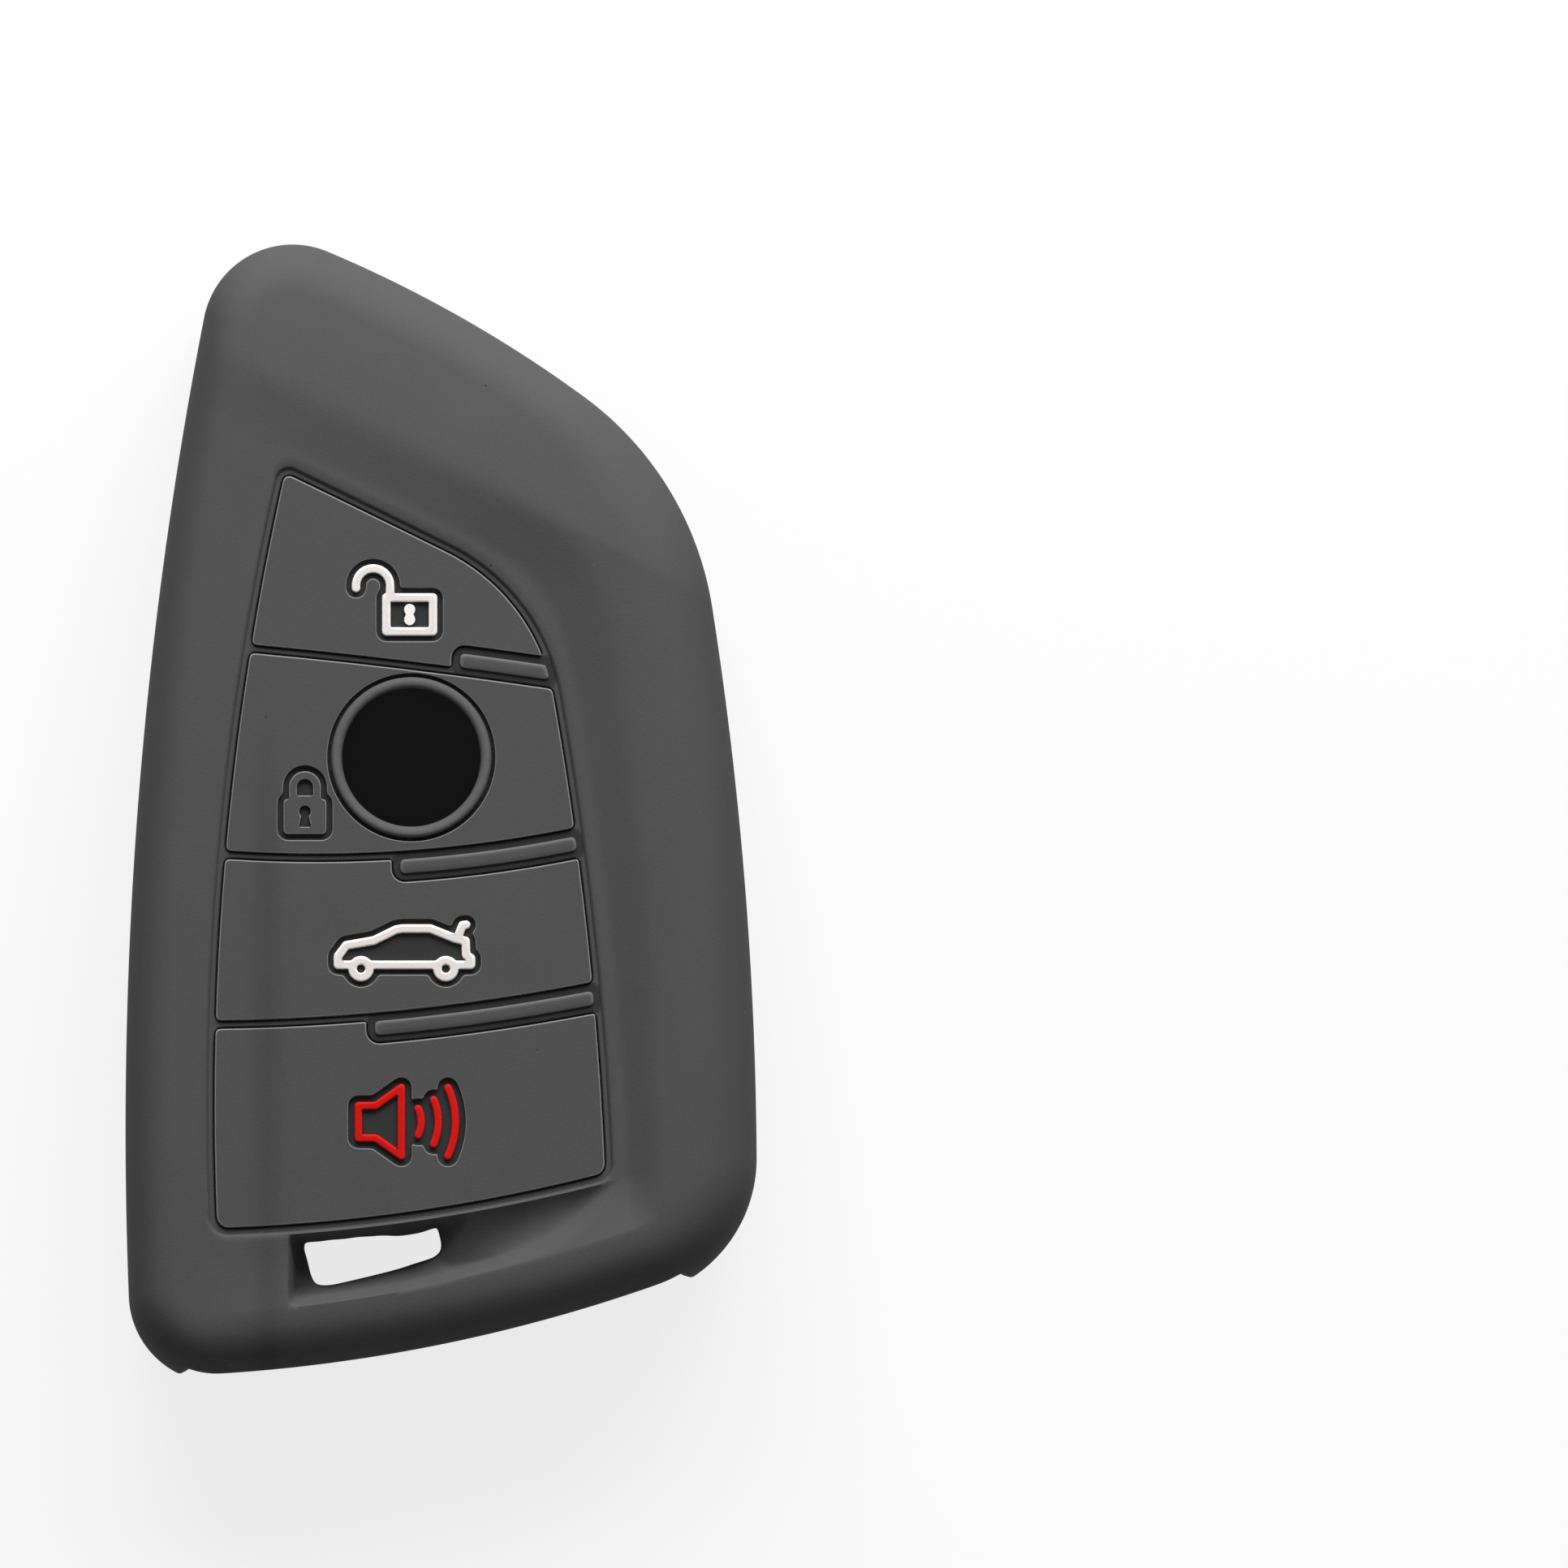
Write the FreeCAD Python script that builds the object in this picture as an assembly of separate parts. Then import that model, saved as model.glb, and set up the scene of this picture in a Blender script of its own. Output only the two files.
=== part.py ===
import FreeCAD, Part
import math
import os

# Slip-on key fob cover, moulded in soft silicone. Millimetres and degrees.
# X runs across the cover, Y along it towards the tip, Z up through the button side.

# Outline of the cover, seen from the button side: four bowed sides and four round corners.
LEFT_X = -24.8
LEFT_Y = -25.4
LEFT_BOW_RADIUS = 334.0
TOP_Y = 39.5
TOP_SLOPE = 28.5
TOP_BOW_RADIUS = 100.0
RIGHT_X = 24.9
RIGHT_Y = -29.3
RIGHT_BOW_RADIUS = 291.5
BOTTOM_Y = -43.0
BOTTOM_SLOPE = 11.4
BOTTOM_BOW_RADIUS = 128.0
TIP_RADIUS = 7.1
SHOULDER_RADIUS = 25.4
RIGHT_FOOT_RADIUS = 11.2
LEFT_FOOT_RADIUS = 7.0

# Heights and walls.
FRONT_HEIGHT = 16.2
FRONT_TILT = 1.0
PANEL_RECESS = 0.5
MOAT_DEPTH = 0.65
WEB_THICKNESS = 0.5
FRONT_WALL = 1.9
BACK_WALL = 1.4
SIDE_WALL = 1.4

# How far the rounded edge reaches in from each side.
LEFT_ROUNDING = 4.0
TOP_ROUNDING = 4.0
RIGHT_ROUNDING = 5.5
BOTTOM_ROUNDING = 5.4
SMALLEST_CORNER = 0.6
CORNER_ROOM = 0.45

# Tip facets on both faces, and the sloping band that leads down to the sunk panel.
# Each run is how far the band reaches out over its rise. At the top the panel follows the button field.
CREST_INSET = 10.6
FACET_SLOPE = 8.0
PANEL_LEFT_INSET = 12.0
PANEL_TOP_REACH = 2.4
PANEL_RIGHT_INSET = 10.6
PANEL_BOTTOM_INSET = 10.2
BAND_LEFT_RUN = 5.0
BAND_TOP_RUN = 7.8
BAND_RIGHT_RUN = 3.2
BAND_BOTTOM_RUN = 2.0
BAND_RISE = 1.0
PANEL_SHOULDER_RADIUS = 17.8
PANEL_FOOT_RADIUS = 3.0

# Button field inside the panel. Its sides have bows of their own, and its top side is nearly straight.
FIELD_LEFT_INSET = 7.0
FIELD_LEFT_Y = -23.4
FIELD_LEFT_BOW_RADIUS = 226.5
FIELD_TOP_Y = 20.35
FIELD_TOP_SLOPE = 26.3
FIELD_TOP_BOW_RADIUS = 1500.0
FIELD_RIGHT_INSET = 11.72
FIELD_RIGHT_Y = -39.8
FIELD_RIGHT_BOW_RADIUS = 278.0
FIELD_BOTTOM_RISE = 11.53
FIELD_BOTTOM_SLOPE = 9.0
FIELD_BOTTOM_BOW_RADIUS = 138.0
FIELD_TIP_RADIUS = 0.5
FIELD_SHOULDER_RADIUS = 15.5
FIELD_FOOT_RADIUS = 0.9
MOAT_WIDTH = 0.64
PAD_CORNER = 0.3
PAD_FIT = 0.03

# Lines that part the pads: where each crosses X = 0, its fall to the right and its bow.
# The first bows towards the tip, the other two towards the mouth.
UPPER_LINE_Y = 10.55
UPPER_LINE_SLOPE = -7.25
UPPER_LINE_RADIUS = 420.0
MIDDLE_LINE_Y = -3.18
MIDDLE_LINE_SLOPE = 5.5
MIDDLE_LINE_RADIUS = 102.0
LOWER_LINE_Y = -15.63
LOWER_LINE_SLOPE = 6.8
LOWER_LINE_RADIUS = 165.0

# Tactile ribs that lie in widened stretches of the moat.
RIB_WIDTH = 1.16
UPPER_RIB_X = 1.5
MIDDLE_RIB_X = -3.2
LOWER_RIB_X = -5.2
RIB_CORNER = 0.35
RIB_END_RADIUS = 30.0
RIB_SET_DOWN = 0.05

# Round window for the emblem of the fob, with its bead.
WINDOW_X = -2.3
WINDOW_Y = 3.95
WINDOW_RADIUS = 5.45
BEAD_WIDTH = 1.1
BEAD_GROOVE = 0.2
BEAD_SEAT = 0.4
BEAD_RISE = 0.25

# Scoops on both faces and the key ring slot through them. Their upper edges follow the button field.
SCOOP_LOW_INSET = 6.2
SCOOP_LIP = 0.76
SCOOP_LEFT_X = -12.0
SCOOP_RIGHT_X = 14.6
SCOOP_DEPTH = 4.0
SCOOP_LOW_RUN = 2.4
SCOOP_HIGH_RUN = 0.3
SCOOP_LEFT_RUN = 0.5
SCOOP_RIGHT_RUN = 4.5
SCOOP_CORNER = 0.9
SCOOP_WALL = 1.3
SLOT_LOW_INSET = 6.7
SLOT_SET_DOWN = 0.2
SLOT_LEFT_X = -10.4
SLOT_RIGHT_X = 0.2
SLOT_CORNER = 0.7
END_BOW_RADIUS = 40.0

# Mouth in the bottom edge that the fob goes in through.
MOUTH_LEFT_X = -20.6
MOUTH_RIGHT_X = 19.8
MOUTH_GAP = 9.0

# Pictograms: raised strokes that stand in sunk pockets of the pads.
POCKET_DEPTH = 0.4
ICON_SET_DOWN = 0.05
STROKE = 0.62
POCKET_MARGIN = 0.47
UNLOCK_ICON_X = -2.43
UNLOCK_ICON_Y = 15.19
UNLOCK_BODY_WIDTH = 3.68
UNLOCK_BODY_HEIGHT = 2.67
UNLOCK_SHACKLE_RADIUS = 1.34
UNLOCK_SHACKLE_LEG = 0.95
UNLOCK_LEG_SETBACK = 0.3
UNLOCK_FREE_LEG = 0.21
KEYHOLE_RADIUS = 0.46
KEYHOLE_HEIGHT = 0.8
KEYHOLE_WAIST = 0.4
KEYHOLE_FOOT = 0.96
KEYHOLE_DROP = 1.2
LOCK_ICON_X = -10.67
LOCK_ICON_Y = -0.71
LOCK_BODY_WIDTH = 3.39
LOCK_BODY_HEIGHT = 2.78
LOCK_BODY_CORNER = 0.33
LOCK_SHACKLE_RADIUS = 1.26
LOCK_SHACKLE_LEG = 0.92
LOCK_HOLE_RAISE = 0.27
LOCK_HOLE_CORNER = 0.1
BOOT_ICON_X = -2.9
BOOT_ICON_Y = -11.0
BOOT_OUTLINE = (
    (-5.18, -1.39), (-5.18, -0.71), (-4.53, 0.15), (-2.35, 0.53), (-0.6, 1.39), (-0.09, 1.47),
    (2.1, 1.47), (4.02, 0.7), (4.88, 0.49), (4.92, -0.62), (5.31, -0.88), (5.31, -1.39),
)
BOOT_LID = ((4.24, 0.7), (4.62, 1.73), (4.92, 1.77))
WHEEL_RADIUS = 0.67
WHEEL_DROP = 1.69
FRONT_WHEEL_X = -3.36
REAR_WHEEL_X = 3.32
ALARM_ICON_X = -2.9
ALARM_ICON_Y = -24.75
ALARM_STROKE = 0.53
ALARM_POCKET_MARGIN = 0.55
HORN_HEIGHT = 5.4
HORN_THROAT = 2.55
HORN_BACK_X = -3.57
HORN_NECK_X = -2.2
HORN_FRONT_X = -0.18
WAVE_XS = (1.14, 2.35, 3.48)
WAVE_HEIGHTS = (2.1, 3.5, 5.4)
WAVE_BOWS = (0.24, 0.38, 0.6)

V = FreeCAD.Vector
UP = V(0, 0, 1)
REACH = 300.0
CUT_MARGIN = 2.0


def bowed_side(point, outward_angle, radius):
    """Circle through a point with a given outward direction there; the piece lies inside it."""
    angle = math.radians(outward_angle)
    outward = V(math.cos(angle), math.sin(angle), 0)
    return (point - outward * radius, radius, 1)


def inset(side, distance):
    """The same side moved towards the piece by a distance."""
    centre, radius, keep = side
    return (centre, radius - keep * distance, keep)


def flipped(side):
    """The same circle with the piece on its other side."""
    centre, radius, keep = side
    return (centre, radius, -keep)


def crossing(first, second, near):
    """Where two circles cross, taking the crossing nearer to a point."""
    span = second[0] - first[0]
    along = (span.Length ** 2 + first[1] ** 2 - second[1] ** 2) / (2 * span.Length)
    across = math.sqrt(first[1] ** 2 - along ** 2)
    direction = span * (1 / span.Length)
    foot = first[0] + direction * along
    aside = V(-direction.y, direction.x, 0) * across
    return min((foot + aside, foot - aside), key=lambda p: (p - near).Length)


def towards(centre, target, distance):
    """Point at a distance from a centre in the direction of a target."""
    way = target - centre
    return centre + way * (distance / way.Length)


def rounded_quad(sides, radii, middle):
    """Closed wire of four bowed sides whose corners are rounded.

    Corner i lies between side i and the next one.
    """
    starts = [None] * 4
    ends = [None] * 4
    corners = []
    for i in range(4):
        j = (i + 1) % 4
        centre = crossing(inset(sides[i], radii[i]), inset(sides[j], radii[i]), middle)
        ends[i] = towards(sides[i][0], centre, sides[i][1])
        starts[j] = towards(sides[j][0], centre, sides[j][1])
        bulge = towards(centre, (ends[i] + starts[j]) * 0.5, radii[i])
        corners.append(Part.Arc(ends[i], bulge, starts[j]).toShape())
    edges = []
    for i in range(4):
        bulge = towards(sides[i][0], (starts[i] + ends[i]) * 0.5, sides[i][1])
        edges.append(Part.Arc(starts[i], bulge, ends[i]).toShape())
        edges.append(corners[i])
    return Part.Wire(edges)


def prism(wire, low, high):
    """Straight solid over a flat wire between two heights."""
    base = wire.copy()
    base.translate(UP * low)
    return Part.Face(base).extrude(UP * (high - low))


def frustum(low_wire, low, high_wire, high):
    """Solid with ruled sides between two flat wires of like edges."""
    base = low_wire.copy()
    base.translate(UP * low)
    top = high_wire.copy()
    top.translate(UP * high)
    return Part.makeLoft([base, top], True, True)


MIDDLE = V(0, 0, 0)
LEFT = bowed_side(V(LEFT_X, LEFT_Y, 0), 180, LEFT_BOW_RADIUS)
TOP = bowed_side(V(0, TOP_Y, 0), 90 - TOP_SLOPE, TOP_BOW_RADIUS)
RIGHT = bowed_side(V(RIGHT_X, RIGHT_Y, 0), 0, RIGHT_BOW_RADIUS)
BOTTOM = bowed_side(V(0, BOTTOM_Y, 0), BOTTOM_SLOPE - 90, BOTTOM_BOW_RADIUS)
FIELD_LEFT = bowed_side(V(LEFT_X + FIELD_LEFT_INSET, FIELD_LEFT_Y, 0), 180, FIELD_LEFT_BOW_RADIUS)
FIELD_TOP = bowed_side(V(0, FIELD_TOP_Y, 0), 90 - FIELD_TOP_SLOPE, FIELD_TOP_BOW_RADIUS)
FIELD_RIGHT = bowed_side(V(RIGHT_X - FIELD_RIGHT_INSET, FIELD_RIGHT_Y, 0), 0, FIELD_RIGHT_BOW_RADIUS)
FIELD_BOTTOM = bowed_side(
    V(0, BOTTOM_Y + FIELD_BOTTOM_RISE, 0), FIELD_BOTTOM_SLOPE - 90, FIELD_BOTTOM_BOW_RADIUS)
FIELD = (FIELD_LEFT, FIELD_TOP, FIELD_RIGHT, FIELD_BOTTOM)
SIDES = (LEFT, TOP, RIGHT, BOTTOM)
CORNER_RADII = (TIP_RADIUS, SHOULDER_RADIUS, RIGHT_FOOT_RADIUS, LEFT_FOOT_RADIUS)
ROUNDINGS = (LEFT_ROUNDING, TOP_ROUNDING, RIGHT_ROUNDING, BOTTOM_ROUNDING)

PANEL_Z = FRONT_HEIGHT - PANEL_RECESS
FLOOR_Z = PANEL_Z - MOAT_DEPTH
WEB_Z = FLOOR_Z - WEB_THICKNESS
CAVITY_TOP = FRONT_HEIGHT - FRONT_WALL
POCKET_Z = PANEL_Z - POCKET_DEPTH
ABOVE_FRONT = FRONT_HEIGHT + CUT_MARGIN


def inset_outline(insets):
    """Outline of the cover with its sides moved in, and its corners rounded to suit."""
    sides = [inset(s, d) for s, d in zip(SIDES, insets)]
    radii = []
    for i in range(4):
        mean = (insets[i] + insets[(i + 1) % 4]) / 2
        radii.append(max(CORNER_RADII[i] - mean, SMALLEST_CORNER))
    return rounded_quad(sides, radii, MIDDLE)


def pillow(wall, low, high, tilt):
    """Soft-edged body: outlines that draw in towards both faces on a quarter ellipse."""
    middle = (low + high) / 2
    half = (high - low) / 2
    sections = []
    for degrees in (-90, -68, -45, -22, 0, 22, 45, 68, 90):
        angle = math.radians(degrees)
        insets = [wall + r * (1 - math.cos(angle)) for r in ROUNDINGS]
        wire = inset_outline(insets)
        height = middle + half * math.sin(angle)
        wire.translate(UP * height)
        wire.rotate(UP * height, V(0, 1, 0), -tilt * max(math.sin(angle), 0))
        sections.append(wire)
    return Part.makeLoft(sections, True, False)


def facet_cut(above):
    """Block whose sloping face trims the tip end of the front, or of the back."""
    out_angle = math.radians(90 - TOP_SLOPE)
    out = V(math.cos(out_angle), math.sin(out_angle), 0)
    crest = V(0, TOP_Y, 0) - out * CREST_INSET
    block = Part.makeBox(REACH, REACH, REACH, V(-REACH / 2, 0, 0 if above else -REACH))
    block.rotate(V(0, 0, 0), V(1, 0, 0), -FACET_SLOPE if above else FACET_SLOPE)
    block.rotate(V(0, 0, 0), UP, -TOP_SLOPE)
    block.translate(crest + UP * (FRONT_HEIGHT if above else 0))
    return block


def panel_cut():
    """Sunk panel with a sloping band along its top and right."""
    insets = (PANEL_LEFT_INSET, -PANEL_TOP_REACH, PANEL_RIGHT_INSET, PANEL_BOTTOM_INSET)
    runs = (BAND_LEFT_RUN, BAND_TOP_RUN, BAND_RIGHT_RUN, BAND_BOTTOM_RUN)
    low = [inset(s, d) for s, d in zip((LEFT, FIELD_TOP, RIGHT, BOTTOM), insets)]
    high = [inset(s, -r) for s, r in zip(low, runs)]
    radii = (SMALLEST_CORNER, PANEL_SHOULDER_RADIUS, PANEL_FOOT_RADIUS, SMALLEST_CORNER)
    foot = rounded_quad(low, radii, MIDDLE)
    crest = rounded_quad(high, radii, MIDDLE)
    return frustum(foot, PANEL_Z, crest, PANEL_Z + BAND_RISE)


def lowest(side, x):
    """Where a side that bows downwards crosses a given X."""
    centre, radius, _ = side
    return V(x, centre.y - math.sqrt(radius ** 2 - (x - centre.x) ** 2), 0)


def mouth_side_strip(low_inset, below_field, left_x, right_x, corner):
    """Wire of a strip between the bottom edge moved in and the field's edge moved down, and two ends."""
    low = inset(BOTTOM, low_inset)
    high = inset(FIELD_BOTTOM, -below_field)
    ends = [(lowest(low, x) + lowest(high, x)) * 0.5 for x in (left_x, right_x)]
    rises = [lowest(high, x).y - lowest(low, x).y for x in (left_x, right_x)]
    radius = min(corner, CORNER_ROOM * min(rises))
    sides = (
        bowed_side(ends[0], 180, END_BOW_RADIUS),
        flipped(high),
        bowed_side(ends[1], 0, END_BOW_RADIUS),
        low,
    )
    return rounded_quad(sides, [radius] * 4, (ends[0] + ends[1]) * 0.5)


def scoop(grow, front):
    """Scoop above the mouth, as a tool; grown, it leaves the wall that lines the scoop."""
    corner = SCOOP_CORNER + grow
    below_field = MOAT_WIDTH + SCOOP_LIP - grow
    rim = mouth_side_strip(
        SCOOP_LOW_INSET - grow, below_field, SCOOP_LEFT_X - grow, SCOOP_RIGHT_X + grow, corner)
    floor = mouth_side_strip(
        SCOOP_LOW_INSET + SCOOP_LOW_RUN - grow, below_field + SCOOP_HIGH_RUN,
        SCOOP_LEFT_X + SCOOP_LEFT_RUN - grow, SCOOP_RIGHT_X - SCOOP_RIGHT_RUN + grow, corner)
    depth = SCOOP_DEPTH + grow
    if front:
        tool = frustum(floor, FRONT_HEIGHT - depth, rim, FRONT_HEIGHT)
        return tool.fuse(prism(rim, FRONT_HEIGHT, ABOVE_FRONT))
    return frustum(rim, 0, floor, depth)


def slot_cut():
    """Key ring slot, straight through both faces."""
    below_field = MOAT_WIDTH + SCOOP_LIP + SLOT_SET_DOWN
    wire = mouth_side_strip(SLOT_LOW_INSET, below_field, SLOT_LEFT_X, SLOT_RIGHT_X, SLOT_CORNER)
    return prism(wire, -CUT_MARGIN, ABOVE_FRONT)


def mouth_cut():
    """Opening along the bottom edge, halfway between the faces."""
    low = (CAVITY_TOP + BACK_WALL - MOUTH_GAP) / 2
    width = MOUTH_RIGHT_X - MOUTH_LEFT_X
    band = Part.makeBox(width, REACH, MOUTH_GAP, V(MOUTH_LEFT_X, BOTTOM[0].y - REACH, low))
    keep = Part.makeCylinder(BOTTOM[1] - SIDE_WALL * 2, MOUTH_GAP, BOTTOM[0] + UP * low)
    return band.cut(keep)


def divider(y, slope, radius, towards_tip):
    """Line between two pads, as the edge of a disc that holds the upper or the lower pad."""
    return bowed_side(V(0, y, 0), slope + 90 if towards_tip else slope - 90, radius)


UPPER_LINE = divider(UPPER_LINE_Y, UPPER_LINE_SLOPE, UPPER_LINE_RADIUS, True)
MIDDLE_LINE = divider(MIDDLE_LINE_Y, MIDDLE_LINE_SLOPE, MIDDLE_LINE_RADIUS, False)
LOWER_LINE = divider(LOWER_LINE_Y, LOWER_LINE_SLOPE, LOWER_LINE_RADIUS, False)
RIBS = {
    "upper_rib": (UPPER_LINE, UPPER_RIB_X),
    "middle_rib": (MIDDLE_LINE, MIDDLE_RIB_X),
    "lower_rib": (LOWER_LINE, LOWER_RIB_X),
}


def beyond(line):
    """The far side of a line, one moat width away from the pad that ends on it."""
    return flipped(inset(line, -MOAT_WIDTH))


PAD_SIDES = {
    "unlock_pad": (FIELD[0], FIELD[1], FIELD[2], beyond(UPPER_LINE)),
    "lock_pad": (FIELD[0], UPPER_LINE, FIELD[2], MIDDLE_LINE),
    "boot_pad": (FIELD[0], beyond(MIDDLE_LINE), FIELD[2], LOWER_LINE),
    "alarm_pad": (FIELD[0], beyond(LOWER_LINE), FIELD[2], FIELD[3]),
}
PAD_RADII = {
    "unlock_pad": (FIELD_TIP_RADIUS, PAD_CORNER, PAD_CORNER, PAD_CORNER),
    "lock_pad": (PAD_CORNER,) * 4,
    "boot_pad": (PAD_CORNER,) * 4,
    "alarm_pad": (PAD_CORNER, PAD_CORNER, FIELD_FOOT_RADIUS, FIELD_FOOT_RADIUS),
}
SHOULDER_PADS = ("unlock_pad", "lock_pad")
NOTCHES = {"unlock_pad": "upper_rib", "boot_pad": "middle_rib", "alarm_pad": "lower_rib"}


def rib_strip(name, margin, past_field):
    """Wire of a rib grown by a margin, whose right end lies past the field by a distance."""
    line, left_x = RIBS[name]
    near = inset(line, -MOAT_WIDTH)
    rise = math.sqrt(near[1] ** 2 - (left_x - near[0].x) ** 2)
    sign = 1 if near[0].y < 0 else -1
    left_end = V(left_x - margin, near[0].y + sign * rise, 0)
    sides = (
        bowed_side(left_end, 180, RIB_END_RADIUS),
        inset(inset(line, -MOAT_WIDTH - RIB_WIDTH), -margin),
        inset(FIELD[2], -past_field),
        flipped(inset(near, margin)),
    )
    right_end = crossing(sides[2], near, left_end)
    return rounded_quad(sides, [RIB_CORNER + max(margin, 0)] * 4, (left_end + right_end) * 0.5)


def pad_plan(name, grow, low, high):
    """Pad without its pictogram, grown all round by a distance, between two heights."""
    sides = [inset(s, -grow) for s in PAD_SIDES[name]]
    radii = [r + grow for r in PAD_RADII[name]]
    middle = V(0, 0, 0)
    for i in range(4):
        middle += crossing(sides[i], sides[(i + 1) % 4], V(0, 0, 0)) * 0.25
    pad = prism(rounded_quad(sides, radii, middle), low, high)
    if name in SHOULDER_PADS:
        pad = pad.common(field_slab(grow, low, high))
    if name in NOTCHES:
        notch = rib_strip(NOTCHES[name], MOAT_WIDTH - grow, 2 * MOAT_WIDTH)
        pad = pad.cut(prism(notch, low - CUT_MARGIN, high + CUT_MARGIN))
    return pad


def field_slab(grow, low, high):
    """The whole button field grown by a distance, between two heights."""
    sides = [inset(s, -grow) for s in FIELD]
    radii = (FIELD_TIP_RADIUS, FIELD_SHOULDER_RADIUS, FIELD_FOOT_RADIUS, FIELD_FOOT_RADIUS)
    return prism(rounded_quad(sides, [r + grow for r in radii], MIDDLE), low, high)


def rib_shelves(low, high):
    """Tongues of the front wall that carry the ribs across the field."""
    strips = [rib_strip(n, MOAT_WIDTH / 2, 3 * MOAT_WIDTH) for n in RIBS]
    return [prism(s, low, high) for s in strips]


def cover_sleeve():
    """The moulded sleeve: back, sides and the frame of the button side."""
    body = pillow(0, 0, FRONT_HEIGHT, FRONT_TILT)
    body = body.cut([facet_cut(True), facet_cut(False), panel_cut()])
    body = body.cut([scoop(0, True), scoop(0, False)])
    cavity = pillow(SIDE_WALL, BACK_WALL, CAVITY_TOP, 0)
    cavity = cavity.cut([scoop(SCOOP_WALL, True), scoop(SCOOP_WALL, False)])
    body = body.cut(cavity)
    body = body.cut([mouth_cut(), slot_cut()])
    moat = field_slab(MOAT_WIDTH, FLOOR_Z, ABOVE_FRONT)
    window = field_slab(MOAT_WIDTH, CAVITY_TOP - CUT_MARGIN, FLOOR_Z)
    window = window.cut(rib_shelves(CAVITY_TOP - 2 * CUT_MARGIN, ABOVE_FRONT))
    return body.cut([moat, window]).removeSplitter()


def line_disc(line, low, high):
    """Disc that a pad line bounds, out to the middle of the moat."""
    return Part.makeCylinder(line[1] + MOAT_WIDTH / 2, high - low, line[0] + UP * low)


def pad_web(name):
    """Thin web round a pad that flexes when the pad is pressed."""
    ring = field_slab(MOAT_WIDTH, WEB_Z, FLOOR_Z)
    lines = (UPPER_LINE, MIDDLE_LINE, LOWER_LINE)
    upper, middle, lower = [line_disc(line, WEB_Z, FLOOR_Z) for line in lines]
    if name == "unlock_pad":
        ring = ring.cut(upper)
    if name == "lock_pad":
        ring = ring.common(upper).common(middle)
    if name == "boot_pad":
        ring = ring.cut(middle).common(lower)
    if name == "alarm_pad":
        ring = ring.cut(lower)
    span = (WEB_Z - CUT_MARGIN, FLOOR_Z + CUT_MARGIN)
    return ring.cut([pad_plan(name, PAD_FIT, *span)] + rib_shelves(*span))


def rib(name):
    """Low bar that stands on its shelf in the moat and ends at the edge of the field."""
    bar = prism(rib_strip(name, 0, 0), FLOOR_Z, PANEL_Z - RIB_SET_DOWN)
    return bar.common(field_slab(0, FLOOR_Z, PANEL_Z))


def window_bead():
    """Rounded bead round the emblem window, seated in a groove of the lock pad."""
    low = PANEL_Z - BEAD_SEAT
    crown = BEAD_WIDTH / 2
    shoulder = PANEL_Z + BEAD_RISE - crown
    inner = WINDOW_RADIUS
    outer = inner + BEAD_WIDTH
    peak = V(inner + crown, 0, shoulder + crown)
    edges = [
        Part.makeLine(V(inner, 0, low), V(outer, 0, low)),
        Part.makeLine(V(outer, 0, low), V(outer, 0, shoulder)),
        Part.Arc(V(outer, 0, shoulder), peak, V(inner, 0, shoulder)).toShape(),
        Part.makeLine(V(inner, 0, shoulder), V(inner, 0, low)),
    ]
    bead = Part.Face(Part.Wire(edges)).revolve(V(0, 0, 0), UP, 360)
    bead.translate(V(WINDOW_X, WINDOW_Y, 0))
    return bead


def stroke_path(points, closed):
    """Wire through points; a bare point gives a line, a pair gives an arc by its middle and end."""
    edges = []
    last = points[0]
    for p in points[1:]:
        if isinstance(p[0], tuple):
            edges.append(Part.Arc(V(*last), V(*p[0]), V(*p[1])).toShape())
            last = p[1]
        else:
            edges.append(Part.makeLine(V(*last), V(*p)))
            last = p
    if closed:
        edges.append(Part.makeLine(V(*last), V(*points[0])))
    return Part.Wire(edges)


def open_stroke(points, width):
    """Flat band of a width along an open path, with round ends and corners."""
    return Part.Face(stroke_path(points, False).makeOffset2D(width / 2, 0, False, False))


def closed_stroke(points, width, filled):
    """Flat band of a width along a closed path; filled, it covers the inside too."""
    path = stroke_path(points, True)
    band = Part.Face(path.makeOffset2D(width / 2, 0, False, False))
    if filled:
        return band
    return band.cut(Part.Face(path.makeOffset2D(-width / 2, 0, False, False)))


def rounded_box(width, height, corner, x, y):
    """Flat rectangle about a point, with round corners."""
    w = width / 2 - corner
    h = height / 2 - corner
    points = [(x - w, y - h), (x + w, y - h), (x + w, y + h), (x - w, y + h)]
    return Part.Face(stroke_path(points, True).makeOffset2D(corner, 0, False, False))


def disc(radius, x, y):
    """Flat round face."""
    return Part.Face(Part.Wire(Part.makeCircle(radius, V(x, y, 0))))


def raised(faces, low, high):
    """One solid over flat faces that overlap, between two heights."""
    solids = []
    for face in faces:
        base = face.copy()
        base.translate(UP * low)
        solids.append(base.extrude(UP * (high - low)))
    if len(solids) == 1:
        return solids[0]
    return solids[0].multiFuse(solids[1:]).removeSplitter()


def unlock_icon(grow, low, high):
    """Open padlock: outline of its body, and a shackle swung to the left."""
    x = UNLOCK_ICON_X
    y = UNLOCK_ICON_Y
    w = UNLOCK_BODY_WIDTH / 2
    h = UNLOCK_BODY_HEIGHT / 2
    r = UNLOCK_SHACKLE_RADIUS
    leg = x - w + UNLOCK_LEG_SETBACK
    bend = y + h + UNLOCK_SHACKLE_LEG
    body = [(x - w, y - h), (x + w, y - h), (x + w, y + h), (x - w, y + h)]
    shackle = [
        (leg - 2 * r, bend - UNLOCK_FREE_LEG),
        (leg - 2 * r, bend),
        ((leg - r, bend + r), (leg, bend)),
        (leg, y + h),
    ]
    width = STROKE + 2 * grow
    return raised([closed_stroke(body, width, grow > 0), open_stroke(shackle, width)], low, high)


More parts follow.
